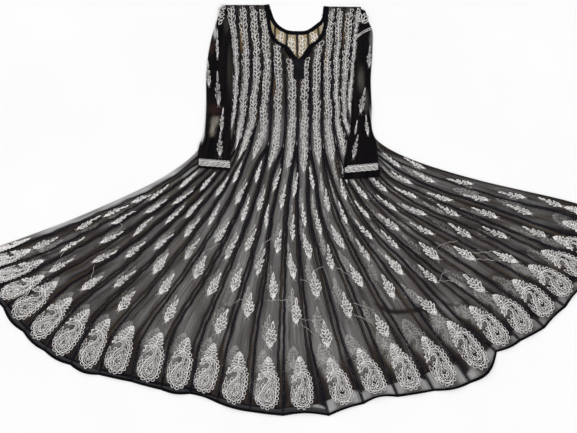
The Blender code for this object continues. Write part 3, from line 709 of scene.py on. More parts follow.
def bodice_seam(j, back):
    """Bodice seam j from the top edge to its godet's point."""
    seam = BODICE[j - 1]
    x = seam.back_top if back else seam.front_top
    top = (x, height_of(BACK_EDGE if back else FRONT_EDGE, x))
    left, right = SKIRT[2 * j], SKIRT[2 * j + 1]
    hips = (Vector(left.hip) + Vector(right.hip)) / 2
    return curve([top, seam.chest, seam.waist, left.start], BODICE_STEPS, after=hips)


def long_seam(i, back):
    """Seam i from the shoulder, neck or underarm to the hem."""
    if i == 1:
        return [Vector(LEFT_UNDERARM), *skirt_seam(i, back)]
    if i == LAST_KALI:
        return [Vector(RIGHT_UNDERARM), *skirt_seam(i, back)]
    return bodice_seam(i // 2, back)[:-1] + skirt_seam(i, back)


def from_tip(left, right):
    """A godet's two edges from where they are wide enough apart to sew."""
    width = GODET_TIP / SQUARE
    for i in range(1, len(left)):
        gap = (right[i] - left[i]).length
        if gap >= width:
            before = -SEAM_GAP / SQUARE if i == 1 else (right[i - 1] - left[i - 1]).length
            part = (width - before) / (gap - before)
            tip = [path[i - 1].lerp(path[i], part) for path in (left, right)]
            return [tip[0], *left[i:]], [tip[1], *right[i:]]
    raise ValueError("a godet never opens")


def piece_edges(first, last, back):
    """The left and right edges of a piece between two seams, in rows that match."""
    is_godet = first % 2 == 0 and last == first + 1
    left = skirt_seam(first, back) if is_godet else long_seam(first, back)
    right = skirt_seam(last, back) if is_godet else long_seam(last, back)
    rows = min(len(left), len(right))
    left = sideways(left, SEAM_GAP / SQUARE / 2)[-rows:]
    right = sideways(right, -SEAM_GAP / SQUARE / 2)[-rows:]
    return from_tip(left, right) if is_godet else (left, right)


FRONT_EDGE = rounded_neck(FRONT_TOP)
BACK_EDGE = rounded_neck(BACK_TOP)


# Places on the layout grid and on the cloth

def grid_origin():
    """Where the layout grid's corner lies, worked out from the placket tab's solid."""
    low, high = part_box("placket_tab")
    middle = (low + high) / 2
    x = middle.x - (TAB_LEFT + TAB_RIGHT) / 2 * SQUARE
    y = middle.y + (TAB_UPPER + TAB_LOWER) / 2 * SQUARE
    return x, y


ORIGIN_X, ORIGIN_Y = grid_origin()


def place(x, y, z):
    """Grid places and heights as points in metres, in the part's frame."""
    return np.stack([ORIGIN_X + x * SQUARE, ORIGIN_Y - y * SQUARE, np.broadcast_to(z, np.shape(x))], -1)


def along_crease(x, y, path):
    """How far grid places lie from a crease's line, and how far along it they are, from 0 to 1."""
    line = smooth_line(path, CREASE_STEPS)
    best = np.full(np.shape(x), np.inf)
    share = np.zeros(np.shape(x))
    for i, (a, b) in enumerate(zip(line, line[1:])):
        step = b - a
        t = np.clip(((x - a[0]) * step[0] + (y - a[1]) * step[1]) / step.dot(step), 0, 1)
        away = np.hypot(x - a[0] - t * step[0], y - a[1] - t * step[1])
        nearer = away < best
        best = np.where(nearer, away, best)
        share = np.where(nearer, (i + t) / (len(line) - 1), share)
    return best, share


def relief(x, y):
    """How high the creases lift the front at grid places, and how much they gather it, which adds painted
    shade.
    """
    height = np.zeros(np.shape(x))
    gather = np.zeros(np.shape(x))
    for crease in CREASES:
        away, share = along_crease(x, y, crease.path)
        along = np.sin(np.pi * np.clip(share, CREASE_ENDS, 1 - CREASE_ENDS)) ** CREASE_EASE
        form = np.exp(-((away / crease.width) ** 2)) * along
        height += crease.height * form
        gather += CREASE_GATHER_AND_SHADE * crease.dark * form
    return height, gather


def patched(x, y, patches):
    """How strongly the patches work at grid places."""
    total = np.zeros(np.shape(x))
    for patch in patches:
        away = ((x - patch.x) / patch.wide) ** 2 + ((y - patch.y) / patch.tall) ** 2
        total += patch.strength * np.exp(-(away**PATCH_EDGE))
    return total


def smoothed_way(middle, up):
    """The way down a piece at each row, over a stretch long enough to pass its slack waves."""
    ways = []
    for here in up:
        ends = [np.array([np.interp(at, up[::-1], middle[::-1, axis]) for axis in (0, 1)])
                for at in (max(here - WAY_STRETCH, 0), min(here + WAY_STRETCH, up[0]))]
        ways.append((ends[0] - ends[1]) / np.hypot(*(ends[0] - ends[1])))
    return np.array(ways)


class Piece:
    """One cut piece of cloth between two seams, in rows from its top to its hem."""

    def __init__(self, name, edges, height, kali=None, top=None, folds=(), single=0.0):
        self.name = name
        self.single = single
        self.folds = folds
        self.left, self.right = (np.array([tuple(point) for point in edge]) for edge in edges)
        self.height = height + WALL / 2
        self.creased = height > BACK_HEIGHT
        self.top = top
        self.bulge = kali.bulge if kali else 0.0
        middle = (self.left + self.right) / 2
        steps = np.hypot(*np.diff(middle, axis=0).T)
        self.up = np.append(np.cumsum(steps[::-1])[::-1], 0.0)
        self.middle = middle
        self.width = np.hypot(*(self.right - self.left).T)
        self.way = smoothed_way(middle, self.up)
        across = self.right - self.left
        self.reach = np.abs(across[:, 0] * self.way[:, 1] - across[:, 1] * self.way[:, 0])
        self.rows = np.arange(len(middle))
        drawn = sum(SKIRT_STEPS)
        down = np.clip(self.rows - (len(middle) - 1 - drawn), 0, None) / drawn
        fold = kali.fold if kali else 0.0
        self.lift = np.minimum(fold * down**FOLD_GROWTH, STEEPEST_FOLD * self.width * SQUARE)
        self.along = (middle[-1] - middle[-1 - LAST_STEPS]) / steps[-LAST_STEPS:].sum()

    def past_hem(self, row, share):
        """How far the hem's bulge carries the cloth past a straight hem."""
        near_hem = np.clip((row - (self.rows[-1] - LAST_STEPS)) / LAST_STEPS, 0, 1)
        return self.bulge * np.sin(np.pi * share) * near_hem

    def height_at(self, row, share):
        """The height of the middle of the cloth, with the piece's own fold."""
        return self.height + np.interp(row, self.rows, self.lift) * np.sin(np.pi * share)

    def grid(self, row, share):
        """Grid places at these rows and shares of the width."""
        left = [np.interp(row, self.rows, self.left[:, axis]) for axis in (0, 1)]
        right = [np.interp(row, self.rows, self.right[:, axis]) for axis in (0, 1)]
        x, y = (a + (b - a) * share for a, b in zip(left, right))
        past = self.past_hem(row, share)
        x, y = x + past * self.along[0], y + past * self.along[1]
        if self.top:
            edge_y = np.interp(x, *zip(*self.top))
            straight_y = np.interp(share, (0, 1), (self.left[0, 1], self.right[0, 1]))
            y = y + (edge_y - straight_y) * np.clip(1 - row / TOP_EDGE_ROWS, 0, 1)
        return x, y

    def at(self, row, share):
        """Points in metres on the middle of the cloth, and how gathered it is there, which also sets its
        painted shade.
        """
        x, y = self.grid(row, share)
        z = self.height_at(row, share)
        gather = self.beside_seams(row, share) + self.folded(row, share)
        gather += SIDE_GATHER * np.clip((np.abs(x - PHOTO_WIDTH / 2) - SIDE_FROM) / SIDE_REACH, 0, 1)
        if self.creased:
            height, creased = relief(x, y)
            z = z + height
            gather = gather + creased + BODICE_GATHER * np.clip((BODICE_TO - y) / BODICE_FADE, 0, 1)
        return place(x, y, z), gather

    def folded(self, row, share):
        """How much the folds along the piece gather it and darken it with painted shade."""
        width = np.interp(row, self.rows, self.width)
        up = np.interp(row, self.rows, self.up)
        gather = np.zeros(np.shape(share))
        if self.single:
            across = (share - 0.5) * width / MOTIF_WIDE
            gather += MOTIF_GATHER_AND_SHADE * np.exp(-(across**4) - ((up - MOTIF_UP) / MOTIF_TALL) ** 4)
        for fold in self.folds:
            sway = np.sin(FOLD_SWAY_WAVE * up + 3 * fold.kali)
            centre = fold.share + FOLD_SWAY / np.maximum(width, 4) * sway
            fade = np.clip((up - fold.low) / FOLD_STARTS_OVER, 0, 1)
            fade *= np.clip((fold.high - up) / FOLD_ENDS_OVER, 0, 1)
            gather += fold.dark * fade * np.exp(-(((share - centre) * width / FOLD_WIDTH) ** 2))
        return gather

    def beside_seams(self, row, share):
        """How much the cloth gathers, with painted shade, beside its seams and in soft streaks along its run.
        """
        width = np.interp(row, self.rows, self.width)
        up = np.interp(row, self.rows, self.up)
        seed = seed_of(self.name)
        low = np.clip((HEM_GATHER_FROM - up) / HEM_GATHER_OVER, 0, 1)
        more, further = HEM_GATHER_AND_SHADE, HEM_GATHER_REACH
        if self.single:
            low *= np.clip((up - self.single) / SINGLE_EDGE + 1, 0, 1)
            more, further = SINGLE_GATHER_AND_SHADE, SINGLE_GATHER_REACH
        reach = SEAM_GATHER_REACH + further * low
        near_left = np.exp(-((share * width / reach) ** 2))
        near_right = np.exp(-(((1 - share) * width / reach) ** 2))
        left_ease = GATHER_EVEN + GATHER_UNEVEN * np.sin(up * 0.11 + seed)
        right_ease = GATHER_EVEN + GATHER_UNEVEN * np.sin(up * 0.09 + 2 * seed)
        streaks = np.sin(11 * share + seed + 0.02 * up) * np.sin(0.045 * up + 3 * seed)
        strength = SEAM_GATHER_AND_SHADE + more * low
        return strength * (near_left * left_ease + near_right * right_ease) + STREAKS * streaks

    def row_at(self, up):
        """The row, with its fraction, this many squares up from the hem."""
        return np.interp(up, self.up[::-1], self.rows[::-1])

    def stitch(self, across, up):
        """Points on the cloth this many squares right of the middle and up from the hem."""
        row = self.row_at(up)
        reach = np.interp(row, self.rows, self.reach)
        share = np.clip(0.5 + across / reach, 0, 1)
        x, y = (np.interp(row, self.rows, self.middle[:, axis]) for axis in (0, 1))
        way_x, way_y = (np.interp(row, self.rows, self.way[:, axis]) for axis in (0, 1))
        sideways_by = np.clip(across, -reach / 2, reach / 2)
        down = self.past_hem(row, share) - np.clip(up - self.up[0], 0, None)
        x = x + sideways_by * way_y + down * way_x
        y = y - sideways_by * way_x + down * way_y
        z = self.height_at(row, share)
        if self.creased:
            z = z + relief(x, y)[0]
        return place(x, y, z)

    def width_at(self, up):
        """The width across the piece this many squares up from the hem."""
        return float(np.interp(self.row_at(up), self.rows, self.reach))

    def up_at(self, y):
        """How far up the hem the middle crosses this y of the grid."""
        return float(np.interp(y, self.middle[:, 1], self.up))

    def flat_size(self):
        """Width, length and area of what shows of the cut, in metres."""
        down = np.diff(self.left, axis=0) + np.diff(self.right, axis=0)
        over = (self.right - self.left)[1:] + (self.right - self.left)[:-1]
        areas = np.abs(down[:, 0] * over[:, 1] - down[:, 1] * over[:, 0]) / 4
        steps = -np.diff(self.up)
        length = float(self.up[0]) * SQUARE
        area = float(areas.sum()) * SQUARE**2
        width = float((areas / steps).max()) * SQUARE
        return width, length, area


def front_name(k):
    """The node of front piece k: a panel where k is even, a godet where it is odd."""
    return f"front_panel_{k:02d}" if k % 2 == 0 else f"front_godet_{k:02d}"


def back_name(k):
    """The node of the back piece that lies under front piece k."""
    return f"back_panel_{k:02d}" if k % 2 == 0 else f"back_godet_{k:02d}"


def front_pieces():
    """The front's pieces by number, from the left side to the right one."""
    pieces = {}
    for k in range(1, LAST_KALI + 1):
        top = FRONT_EDGE if k % 2 == 0 and 2 < k < LAST_KALI else None
        edges = piece_edges(k - 1, k, back=False)
        folds = [fold for fold in FOLDS if fold.kali == k]
        single = SKIRT[k].back_short if k >= SINGLE_FROM else 0.0
        pieces[k] = Piece(front_name(k), edges, FRONT_HEIGHT, KALIS[k - 1], top, folds, single)
    return pieces


def back_pieces():
    """The back's pieces by number, with a wide side piece at each end."""
    pieces = {1: Piece("back_side_left", piece_edges(1, LEFT_BACK_SIDE, True), BACK_HEIGHT)}
    for k in range(LEFT_BACK_SIDE + 1, RIGHT_BACK_SIDE):
        top = BACK_EDGE if k % 2 == 0 else None
        pieces[k] = Piece(back_name(k), piece_edges(k - 1, k, True), BACK_HEIGHT, top=top)
    edges = piece_edges(RIGHT_BACK_SIDE - 1, LAST_KALI, True)
    pieces[RIGHT_BACK_SIDE] = Piece("back_side_right", edges, BACK_HEIGHT)
    return pieces


# Materials

def shader_of(name, colour, roughness, sheen, gloss=0.04):
    """A new material with its own Principled shader, and the tree it stands in."""
    material = bpy.data.materials.new(name)
    material.use_nodes = True
    tree = material.node_tree
    shader = tree.nodes["Principled BSDF"]
    shader.inputs["Base Color"].default_value = (*colour, 1)
    shader.inputs["Roughness"].default_value = roughness
    shader.inputs["Sheen Weight"].default_value = sheen
    shader.inputs["Specular IOR Level"].default_value = gloss
    return material, tree, shader


def noise(tree, scale, detail=3.0, stretch=(1, 1, 1), over="Object"):
    """A noise over the object's own space or over a named attribute, drawn out along some axes."""
    mapping = tree.nodes.new("ShaderNodeMapping")
    mapping.inputs["Scale"].default_value = stretch
    texture = tree.nodes.new("ShaderNodeTexNoise")
    texture.inputs["Scale"].default_value = scale
    texture.inputs["Detail"].default_value = detail
    if over == "Object":
        source = tree.nodes.new("ShaderNodeTexCoord").outputs["Object"]
    else:
        source = attribute(tree, over).outputs["Vector"]
    tree.links.new(source, mapping.inputs["Vector"])
    tree.links.new(mapping.outputs["Vector"], texture.inputs["Vector"])
    return texture.outputs["Fac"]


def attribute(tree, name):
    """The values that the mesh has under this name."""
    node = tree.nodes.new("ShaderNodeAttribute")
    node.attribute_name = name
    return node


def threads_across(tree, pitch, turn):
    """Bands of a weave, one per thread, turned in the cloth's plane."""
    place_node = tree.nodes.new("ShaderNodeTexCoord")
    mapping = tree.nodes.new("ShaderNodeMapping")
    mapping.inputs["Rotation"].default_value = (0, 0, turn)
    wave = tree.nodes.new("ShaderNodeTexWave")
    wave.inputs["Scale"].default_value = math.pi / (10 * pitch)
    wave.inputs["Distortion"].default_value = WEAVE_DISTORTION
    tree.links.new(place_node.outputs["Object"], mapping.inputs["Vector"])
    tree.links.new(mapping.outputs["Vector"], wave.inputs["Vector"])
    return wave.outputs["Fac"]


def math_node(tree, operation, a, b):
    """The result of one sum on two sockets or numbers."""
    node = tree.nodes.new("ShaderNodeMath")
    node.operation = operation
    for socket, value in zip(node.inputs, (a, b)):
        if isinstance(value, (int, float)):
            socket.default_value = value
        else:
            tree.links.new(value, socket)
    return node.outputs["Value"]


def weighed(tree, first, share, second, other_share):
    """Two factors added up, each times its own share."""
    first = math_node(tree, "MULTIPLY", first, share)
    return math_node(tree, "ADD", first, math_node(tree, "MULTIPLY", second, other_share))


def clamped(tree, factor, low, high):
    """A factor kept between two numbers."""
    return math_node(tree, "MAXIMUM", math_node(tree, "MINIMUM", factor, high), low)


def colours(tree, factor, stops):
    """A colour ramp over a factor; stops are (position, colour)."""
    ramp = tree.nodes.new("ShaderNodeValToRGB")
    elements = ramp.color_ramp.elements
    elements[0].position, elements[0].color = stops[0][0], (*stops[0][1], 1)
    elements[1].position, elements[1].color = stops[-1][0], (*stops[-1][1], 1)
    for position, colour in stops[1:-1]:
        elements.new(position).color = (*colour, 1)
    tree.links.new(factor, ramp.inputs["Fac"])
    return ramp.outputs["Color"]


def bump(tree, shader, height, distance, strength):
    """Fine relief on a shader, this many metres deep."""
    node = tree.nodes.new("ShaderNodeBump")
    node.inputs["Distance"].default_value = distance
    node.inputs["Strength"].default_value = strength
    tree.links.new(height, node.inputs["Height"])
    tree.links.new(node.outputs["Normal"], shader.inputs["Normal"])


def weave(tree, pitch, turn):
    """Two sets of threads that cross at a right angle."""
    warp = threads_across(tree, pitch, turn)
    return math_node(tree, "ADD", warp, threads_across(tree, pitch, turn + math.pi / 2))


def crepe(tree, shader):
    """The fine uneven grain of georgette: two sets of threads under a crepe twist."""
    grain = math_node(tree, "MULTIPLY", noise(tree, CREPE_GRAIN, 2.0), CREPE_GRAIN_SHARE)
    bump(tree, shader, math_node(tree, "ADD", weave(tree, CREPE_PITCH, 0.0), grain), WEAVE_DEPTH, CREPE_BUMP)


def georgette(name, tones, warm_tone, density, warm_density=0.0):
    """Sheer crepe drifting in streaks along its run, denser where gathered or toned, with painted shade and
    highlight.
    """
    thinnest, thickest = density
    material, tree, shader = shader_of(name, tones[1], roughness=0.78, sheen=0.02)
    drift = noise(tree, CLOTH_DRIFT, 4.0, CLOTH_DRIFT_STRETCH)
    streaks = noise(tree, 1.0, 4.0, (STREAK_ACROSS, STREAK_ALONG, 1.0), over="run")
    tint = noise(tree, TINT_SCALE, 2.0, (STREAK_ACROSS, STREAK_ALONG, -1.0), over="run")
    tone = weighed(tree, tint, TINT_SHARE, streaks, STREAK_SHARE)
    plain = colours(tree, tone, tuple(zip(CLOTH_STOPS, tones)))
    warm, gather, pale = (attribute(tree, kind).outputs["Fac"] for kind in ("warm", "gather", "pale"))
    # Painted shade: the colour turns near-black as the cloth gathers beside seams, in creases and in folds
    painted_shade = clamped(tree, math_node(tree, "MULTIPLY", gather, PAINTED_SHADE_STRENGTH), 0.0, 1.0)
    toned = mixed(tree, warm, mixed(tree, painted_shade, plain, PAINTED_SHADE_CLOTH), warm_tone)
    # Painted highlight: the colour turns pale beige where a sleeve lies slack
    tree.links.new(mixed(tree, pale, toned, PAINTED_HIGHLIGHT_CLOTH), shader.inputs["Base Color"])
    dense = math_node(tree, "ADD", math_node(tree, "MULTIPLY", drift, thickest - thinnest), thinnest)
    dense = math_node(tree, "ADD", dense, gather)
    uneven = math_node(tree, "SUBTRACT", streaks, 0.5)
    for factor, share in ((uneven, STREAK_DEPTH), (warm, warm_density), (pale, PAINTED_HIGHLIGHT_DENSITY)):
        dense = math_node(tree, "ADD", dense, math_node(tree, "MULTIPLY", factor, share))
    tree.links.new(clamped(tree, dense, SHEEREST, DENSEST), shader.inputs["Alpha"])
    crepe(tree, shader)
    return material


def mixed(tree, factor, colour, other):
    """A colour turning into another, plain one."""
    node = tree.nodes.new("ShaderNodeMix")
    node.data_type = "RGBA"
    tree.links.new(factor, node.inputs["Factor"])
    tree.links.new(colour, node.inputs[MIX_FIRST])
    node.inputs[MIX_SECOND].default_value = (*other, 1)
    return node.outputs[MIX_RESULT]


def drifting(tree, shader, scale, dark, light, detail=3.0, low=0.35):
    """A base colour that drifts between a dark and a light tone."""
    tone = noise(tree, scale, detail)
    tree.links.new(colours(tree, tone, ((low, dark), (0.7, light))), shader.inputs["Base Color"])


def turned_cloth(name, density):
    """Cloth turned in on itself along a seam or a hem, all but black."""
    material, tree, shader = shader_of(name, BLACK, roughness=0.7, sheen=0.02)
    drifting(tree, shader, TURNED_DRIFT, BLACK, NAVY)
    shader.inputs["Alpha"].default_value = density
    crepe(tree, shader)
    return material


def bias_cloth(name, dark, light):
    """A bias strip: matt black, with its threads slanting across it."""
    material, tree, shader = shader_of(name, light, roughness=0.75, sheen=0.01)
    drifting(tree, shader, BIAS_DRIFT, dark, light)
    bump(tree, shader, weave(tree, BIAS_PITCH, -math.pi / 4), WEAVE_DEPTH, BIAS_BUMP)
    return material


def cotton(name, tones):
    """Loosely twisted cotton thread, off-white, mottled grey at random as painted shade for the hollows of
    its twist.
    """
    material, tree, shader = shader_of(name, tones[1], roughness=0.85, sheen=0.2, gloss=0.12)
    fine, broad = noise(tree, COTTON_FINE, 3.0), noise(tree, COTTON_BROAD, 2.0)
    tone = weighed(tree, fine, COTTON_FINE_SHARE, broad, COTTON_BROAD_SHARE)
    tree.links.new(colours(tree, tone, tuple(zip(COTTON_STOPS, tones))), shader.inputs["Base Color"])
    bump(tree, shader, noise(tree, COTTON_TWIST, 2.0), COTTON_DEPTH, COTTON_BUMP)
    return material


def floor_paper():
    """The pale ground that the garment lies on."""
    dark, middle, light = FLOOR_TONES
    material, tree, shader = shader_of("floor_paper", middle, roughness=0.9, sheen=0.0)
    drifting(tree, shader, FLOOR_DRIFT, dark, light, detail=2.0, low=0.3)
    return material


def make_materials():
    """Every material of the garment, by its use."""
    return {
        "front": georgette("georgette_front", BODY_TONES, FRONT_WARM_TONE, FRONT_DENSITY, FRONT_WARM_DENSITY),
        "back": georgette("georgette_back", BODY_TONES, BACK_WARM_TONE, BACK_DENSITY, BACK_WARM_DENSITY),
        "sleeve": georgette("georgette_sleeve", SLEEVE_TONES, SLEEVE_WARM_TONE, SLEEVE_DENSITY),
        "seam": turned_cloth("seam_allowance", SEAM_DENSITY),
        "hem": turned_cloth("turned_hem", HEM_DENSITY),
        "binding": bias_cloth("binding", *BINDING_TONES),
        "tab": bias_cloth("tab", *TAB_TONES),
        "thread": cotton("thread_work", THREAD_TONES),
        "back_thread": cotton("back_thread", LIGHTENED_BACK_THREAD_TONES),
        "sleeve_thread": cotton("sleeve_thread", SLEEVE_THREAD_TONES),
        "float": cotton("float_thread", FLOAT_TONES),
    }


# Meshes

def linked(name, data):
    """A new object with this data, in the scene."""
    obj = bpy.data.objects.new(name, data)
    bpy.context.scene.collection.objects.link(obj)
    return obj


def add_mesh(name, points, faces, materials, slots=None, smooth=True):
    """A mesh object from arrays of points and faces, with a material index for each face."""
    mesh = bpy.data.meshes.new(name)
    mesh.from_pydata(np.asarray(points).reshape(-1, 3).tolist(), [], np.asarray(faces).tolist())
    for material in materials:
        mesh.materials.append(material)
    if slots is not None:
        mesh.polygons.foreach_set("material_index", np.asarray(slots, dtype=np.int32))
    if smooth:
        mesh.shade_smooth()
    return linked(name, mesh)


def ring_faces(count, size):
    """Quads between rings that follow each other, each ring closed on itself."""
    faces = []
    for i in range(count - 1):
        for j in range(size):
            k = (j + 1) % size
            faces.append((i * size + j, i * size + k, (i + 1) * size + k, (i + 1) * size + j))
    return faces


def grid_faces(rows, columns):
    """Quads, facing up, over rows that run down the garment and columns that run to the right."""
    row, column = np.meshgrid(np.arange(rows - 1), np.arange(columns - 1), indexing="ij")
    corner = (row * columns + column).ravel()
    return np.stack([corner, corner + columns, corner + columns + 1, corner + 1], -1)


def set_values(obj, name, values):
    """A number at each point of a mesh, for its material to read."""
    layer = obj.data.attributes.new(name, "FLOAT", "POINT")
    layer.data.foreach_set("value", np.asarray(values, dtype=np.float32).ravel())


def set_run(obj, across, up, seed):
    """Where each point lies in its own piece of cloth, so that streaks follow the piece's run."""
    layer = obj.data.attributes.new("run", "FLOAT_VECTOR", "POINT")
    spots = np.stack([across, up, np.full(np.shape(across), float(seed))], -1)
    layer.data.foreach_set("vector", spots.astype(np.float32).ravel())


def cloth_sheet(piece, materials, cloth, turned_hem=0.0, thin=0.0, open_sides=()):
    """One piece of cloth as a single sheet, dark along its seams and where its hem is turned up."""
    last = float(piece.row_at((HEM_BINDING - CLOTH_INTO_BINDING) / SQUARE))
    part = 1 / (CREASED_ROW_PARTS if piece.creased else 1)
    rows = np.append(np.arange(0, last - LAST_ROW_ROOM * part, part), last)
    width = np.interp(rows, piece.rows, piece.width) * SQUARE
    edge = np.minimum(SEAM_ALLOWANCE / width, WIDEST_ALLOWANCE)[:, None]
    inner = np.linspace(0, 1, INNER_COLUMNS + 1)[None, :]
    shares = np.concatenate([0 * edge, edge + (1 - 2 * edge) * inner, 1 + 0 * edge], axis=1)
    row_of = np.repeat(rows[:, None], shares.shape[1], axis=1)
    points, gather = piece.at(row_of, shares)
    looks = (cloth, "seam", "hem")
    slots = np.zeros((len(rows) - 1, shares.shape[1] - 1), dtype=int)
    if turned_hem:
        slots[rows[:-1] >= piece.row_at(turned_hem)] = looks.index("hem")
    for side, column, pair in (("left", 0, (0, 1)), ("right", -1, (-2, -1))):
        if side not in open_sides:
            slots[:, column] = looks.index("seam")
            points[:, pair, 2] += SEAM_RIDGE
    faces = grid_faces(len(rows), shares.shape[1])
    looks = [materials[look] for look in looks]
    obj = add_mesh(f"{piece.name}_cloth", points, faces, looks, slots.ravel())
    set_values(obj, "gather", gather - thin)
    toned = patched(*piece.grid(row_of, shares), FRONT_WARM if piece.creased else BACK_WARM)
    set_values(obj, "warm", toned)
    across = (shares - 0.5) * np.interp(row_of, piece.rows, piece.width)
    set_run(obj, across, np.interp(row_of, piece.rows, piece.up), seed_of(piece.name) % RUN_SEEDS)
    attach(obj, "root")
    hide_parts(piece.name)
    return obj


def raised(points, width, closed):
    """Sections of a raised stitch line, beaded like chain stitch, on a run of points."""
    if closed:
        along = np.roll(points, -1, axis=0) - np.roll(points, 1, axis=0)
        along[0] = along[-1] = points[1] - points[-2]
    else:
        along = np.gradient(points, axis=0)
    side = np.stack([along[:, 1], -along[:, 0], np.zeros(len(points))], -1)
    side /= np.linalg.norm(side, axis=1, keepdims=True) + 1e-9
    half = np.full(len(points), width / 2)
    half[1::2] *= STITCH_WAIST
    if not closed:
        half[[0, -1]] *= STITCH_END
    height = THREAD_HEIGHT * min(width / THREAD, 1.0)
    sections = []
    for across, up in STITCH_SECTION:
        rise = np.array((0, 0, up * height))
        sections.append(points + across * half[:, None] * side + rise)
    return np.stack(sections, axis=1)


Strand = namedtuple("Strand", "path width closed")


class Stitches:
    """Stitch lines gathered into one mesh."""

    def __init__(self):
        self.points = []
        self.faces = []
        self.count = 0

    def sew(self, points, width, closed=False):
        """Adds one stitch line along points in metres."""
        sections = raised(points, width, closed)
        size = len(STITCH_SECTION)
        start = self.count + size * np.arange(len(points) - 1)[:, None] + np.arange(size - 1)[None, :]
        start = start.ravel()
        self.faces.append(np.stack([start, start + 1, start + size + 1, start + size], -1))
        self.points.append(sections.reshape(-1, 3))
        self.count += size * len(points)

    def sew_on(self, piece, strands, thicker=1.0):
        """Adds strands drawn in squares right of a piece's middle and up from its hem."""
        if not strands:
            return
        lengths = [len(strand.path) for strand in strands]
        drawn = np.concatenate([strand.path for strand in strands])
        waves = drawn[:, ::-1] * HAND_WAVES + drawn * HAND_CROSS_WAVES + seed_of(piece.name)
        drawn = drawn + np.sin(waves) * HAND_WAVER
        laid = piece.stitch(drawn[:, 0], drawn[:, 1])
        for strand, points in zip(strands, np.split(laid, np.cumsum(lengths)[:-1])):
            self.sew(points, strand.width * thicker, strand.closed)

    def finish(self, name, material):
        """The stitches as one object."""
        obj = add_mesh(name, np.concatenate(self.points), np.concatenate(self.faces), (material,))
        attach(obj, "root")
        return obj


# Drawings of the motifs, in squares, each standing on its foot at (0, 0) and pointing up

def petal(length, width, steps=PETAL_STEPS):
    """A closed pointed loop."""
    rise = np.linspace(0, 1, steps + 1)
    bow = width / 2 * np.sin(np.pi * rise**PETAL_EASE)
    out = np.stack([bow, rise * length], -1)
    back = np.stack([-bow, rise * length], -1)[-2::-1]
    return np.concatenate([out, back])


def turned(path, degrees, foot=(0, 0)):
    """A drawing turned clockwise about its foot, and then moved."""
    angle = math.radians(degrees)
    x = path[:, 0] * math.cos(angle) + path[:, 1] * math.sin(angle)
    y = path[:, 1] * math.cos(angle) - path[:, 0] * math.sin(angle)
    return np.stack([x + foot[0], y + foot[1]], -1)


def leaf(length, width, degrees, foot, thread=THREAD, vein=False):
    """A stitched petal, with a vein where there is room for one."""
    strands = [Strand(turned(petal(length, width), degrees, foot), thread, True)]
    if vein:
        line = np.array([(0, share * length) for share in VEIN])
        strands.append(Strand(turned(line, degrees, foot), FINE_THREAD, False))
    return strands


def sprig(leaves, paired, thread=THREAD):
    """Leaves up a stalk under a bud, in pairs or one by one, over a thick foot with two loose ends."""
    strands = []
    for number, (rise, lean, length, width) in enumerate(leaves):
        for side in (-1, 1) if paired and lean else (1,):
            uneven = 1 + LEAF_UNEVEN * math.sin(2.3 * number + 1.9 * side)
            off = side * LEAF_OFF_STALK if paired and lean else 0.0
            foot = (off, rise + LEAF_UP_STALK * math.sin(4.1 * number + side))
            strands += leaf(length * uneven, width, side * lean * uneven, foot, thread, vein=True)
    for x in (-SPRIG_STALK, 0.0, SPRIG_STALK):
        strands.append(Strand(upright(x, 0, SPRIG_FOOT, SPRIG_FOOT_POINTS), THREAD, False))
    for side in (-1, 1):
        strands.append(Strand(np.array(LOOSE_END) * (side, 1), FLOAT_THREAD, False))
    return strands


def upright(x, low, high, points):
    """A straight line up from one height to another."""
    return np.stack([np.full(points, x), np.linspace(low, high, points)], -1)


def moved(strands, across, up, wide=1.0, tall=1.0, lean=0.0, degrees=0.0):
    """Strands scaled, turned and moved to their place; they lean right by squares per square of height."""
    laid = []
    for strand in strands:
        path = strand.path * (wide, tall)
        if degrees:
            path = turned(path, degrees)
        x, y = path[:, 0], path[:, 1]
        laid.append(strand._replace(path=np.stack([across + x + lean * y, up + y], -1)))
    return laid


def spaced(path, pitch):
    """Points this far apart along a path."""
    steps = np.hypot(*np.diff(path, axis=0).T)
    run = np.append(0.0, np.cumsum(steps))
    at = np.linspace(0, run[-1], max(int(run[-1] / pitch), 2) + 1)
    return np.stack([np.interp(at, run, path[:, 0]), np.interp(at, run, path[:, 1])], -1)


def paisley_spine():
    """The spine's points, its normals to the left, and its half widths."""
    spine = smooth_line(PAISLEY_SPINE, SPINE_STEPS)
    along = np.gradient(spine, axis=0)
    along /= np.hypot(*along.T)[:, None]
    left = np.stack([-along[:, 1], along[:, 0]], -1)
    stations = np.arange(len(PAISLEY_HALF)) * SPINE_STEPS
    half = np.interp(np.arange(len(spine)), stations, PAISLEY_HALF)
    return spine, left, half


def paisley_outline(inset):
    """The paisley's line this far inside its edge: up the left, from tip to bulb, and back up the right."""
    spine, left, half = paisley_spine()
    reach = half - inset
    thin = reach < THINNEST_LINE
    inside = int(np.argmax(thin)) if thin.any() else len(spine)
    reach = reach[:inside, None]
    left_side = spine[:inside] + reach * left[:inside]
    right_side = spine[:inside] - reach * left[:inside]
    turn = np.linspace(0, math.pi, BULB_POINTS)[1:-1, None]
    backward = np.array((-left[0, 1], left[0, 0]))
    bulb = spine[0] + reach[0] * (np.cos(turn) * left[0] + np.sin(turn) * backward)
    return left_side[::-1], bulb, right_side


def zigzag(path, reach):
    """A thread that goes from side to side along a path."""
    line = spaced(path, ZIGZAG_PITCH)
    along = np.gradient(line, axis=0)
    across = np.stack([along[:, 1], -along[:, 0]], -1) / np.hypot(*along.T)[:, None]
    sway = np.where(np.arange(len(line)) % 2 == 0, reach, -reach)
    return Strand(line + sway[:, None] * across, FINE_THREAD, False)


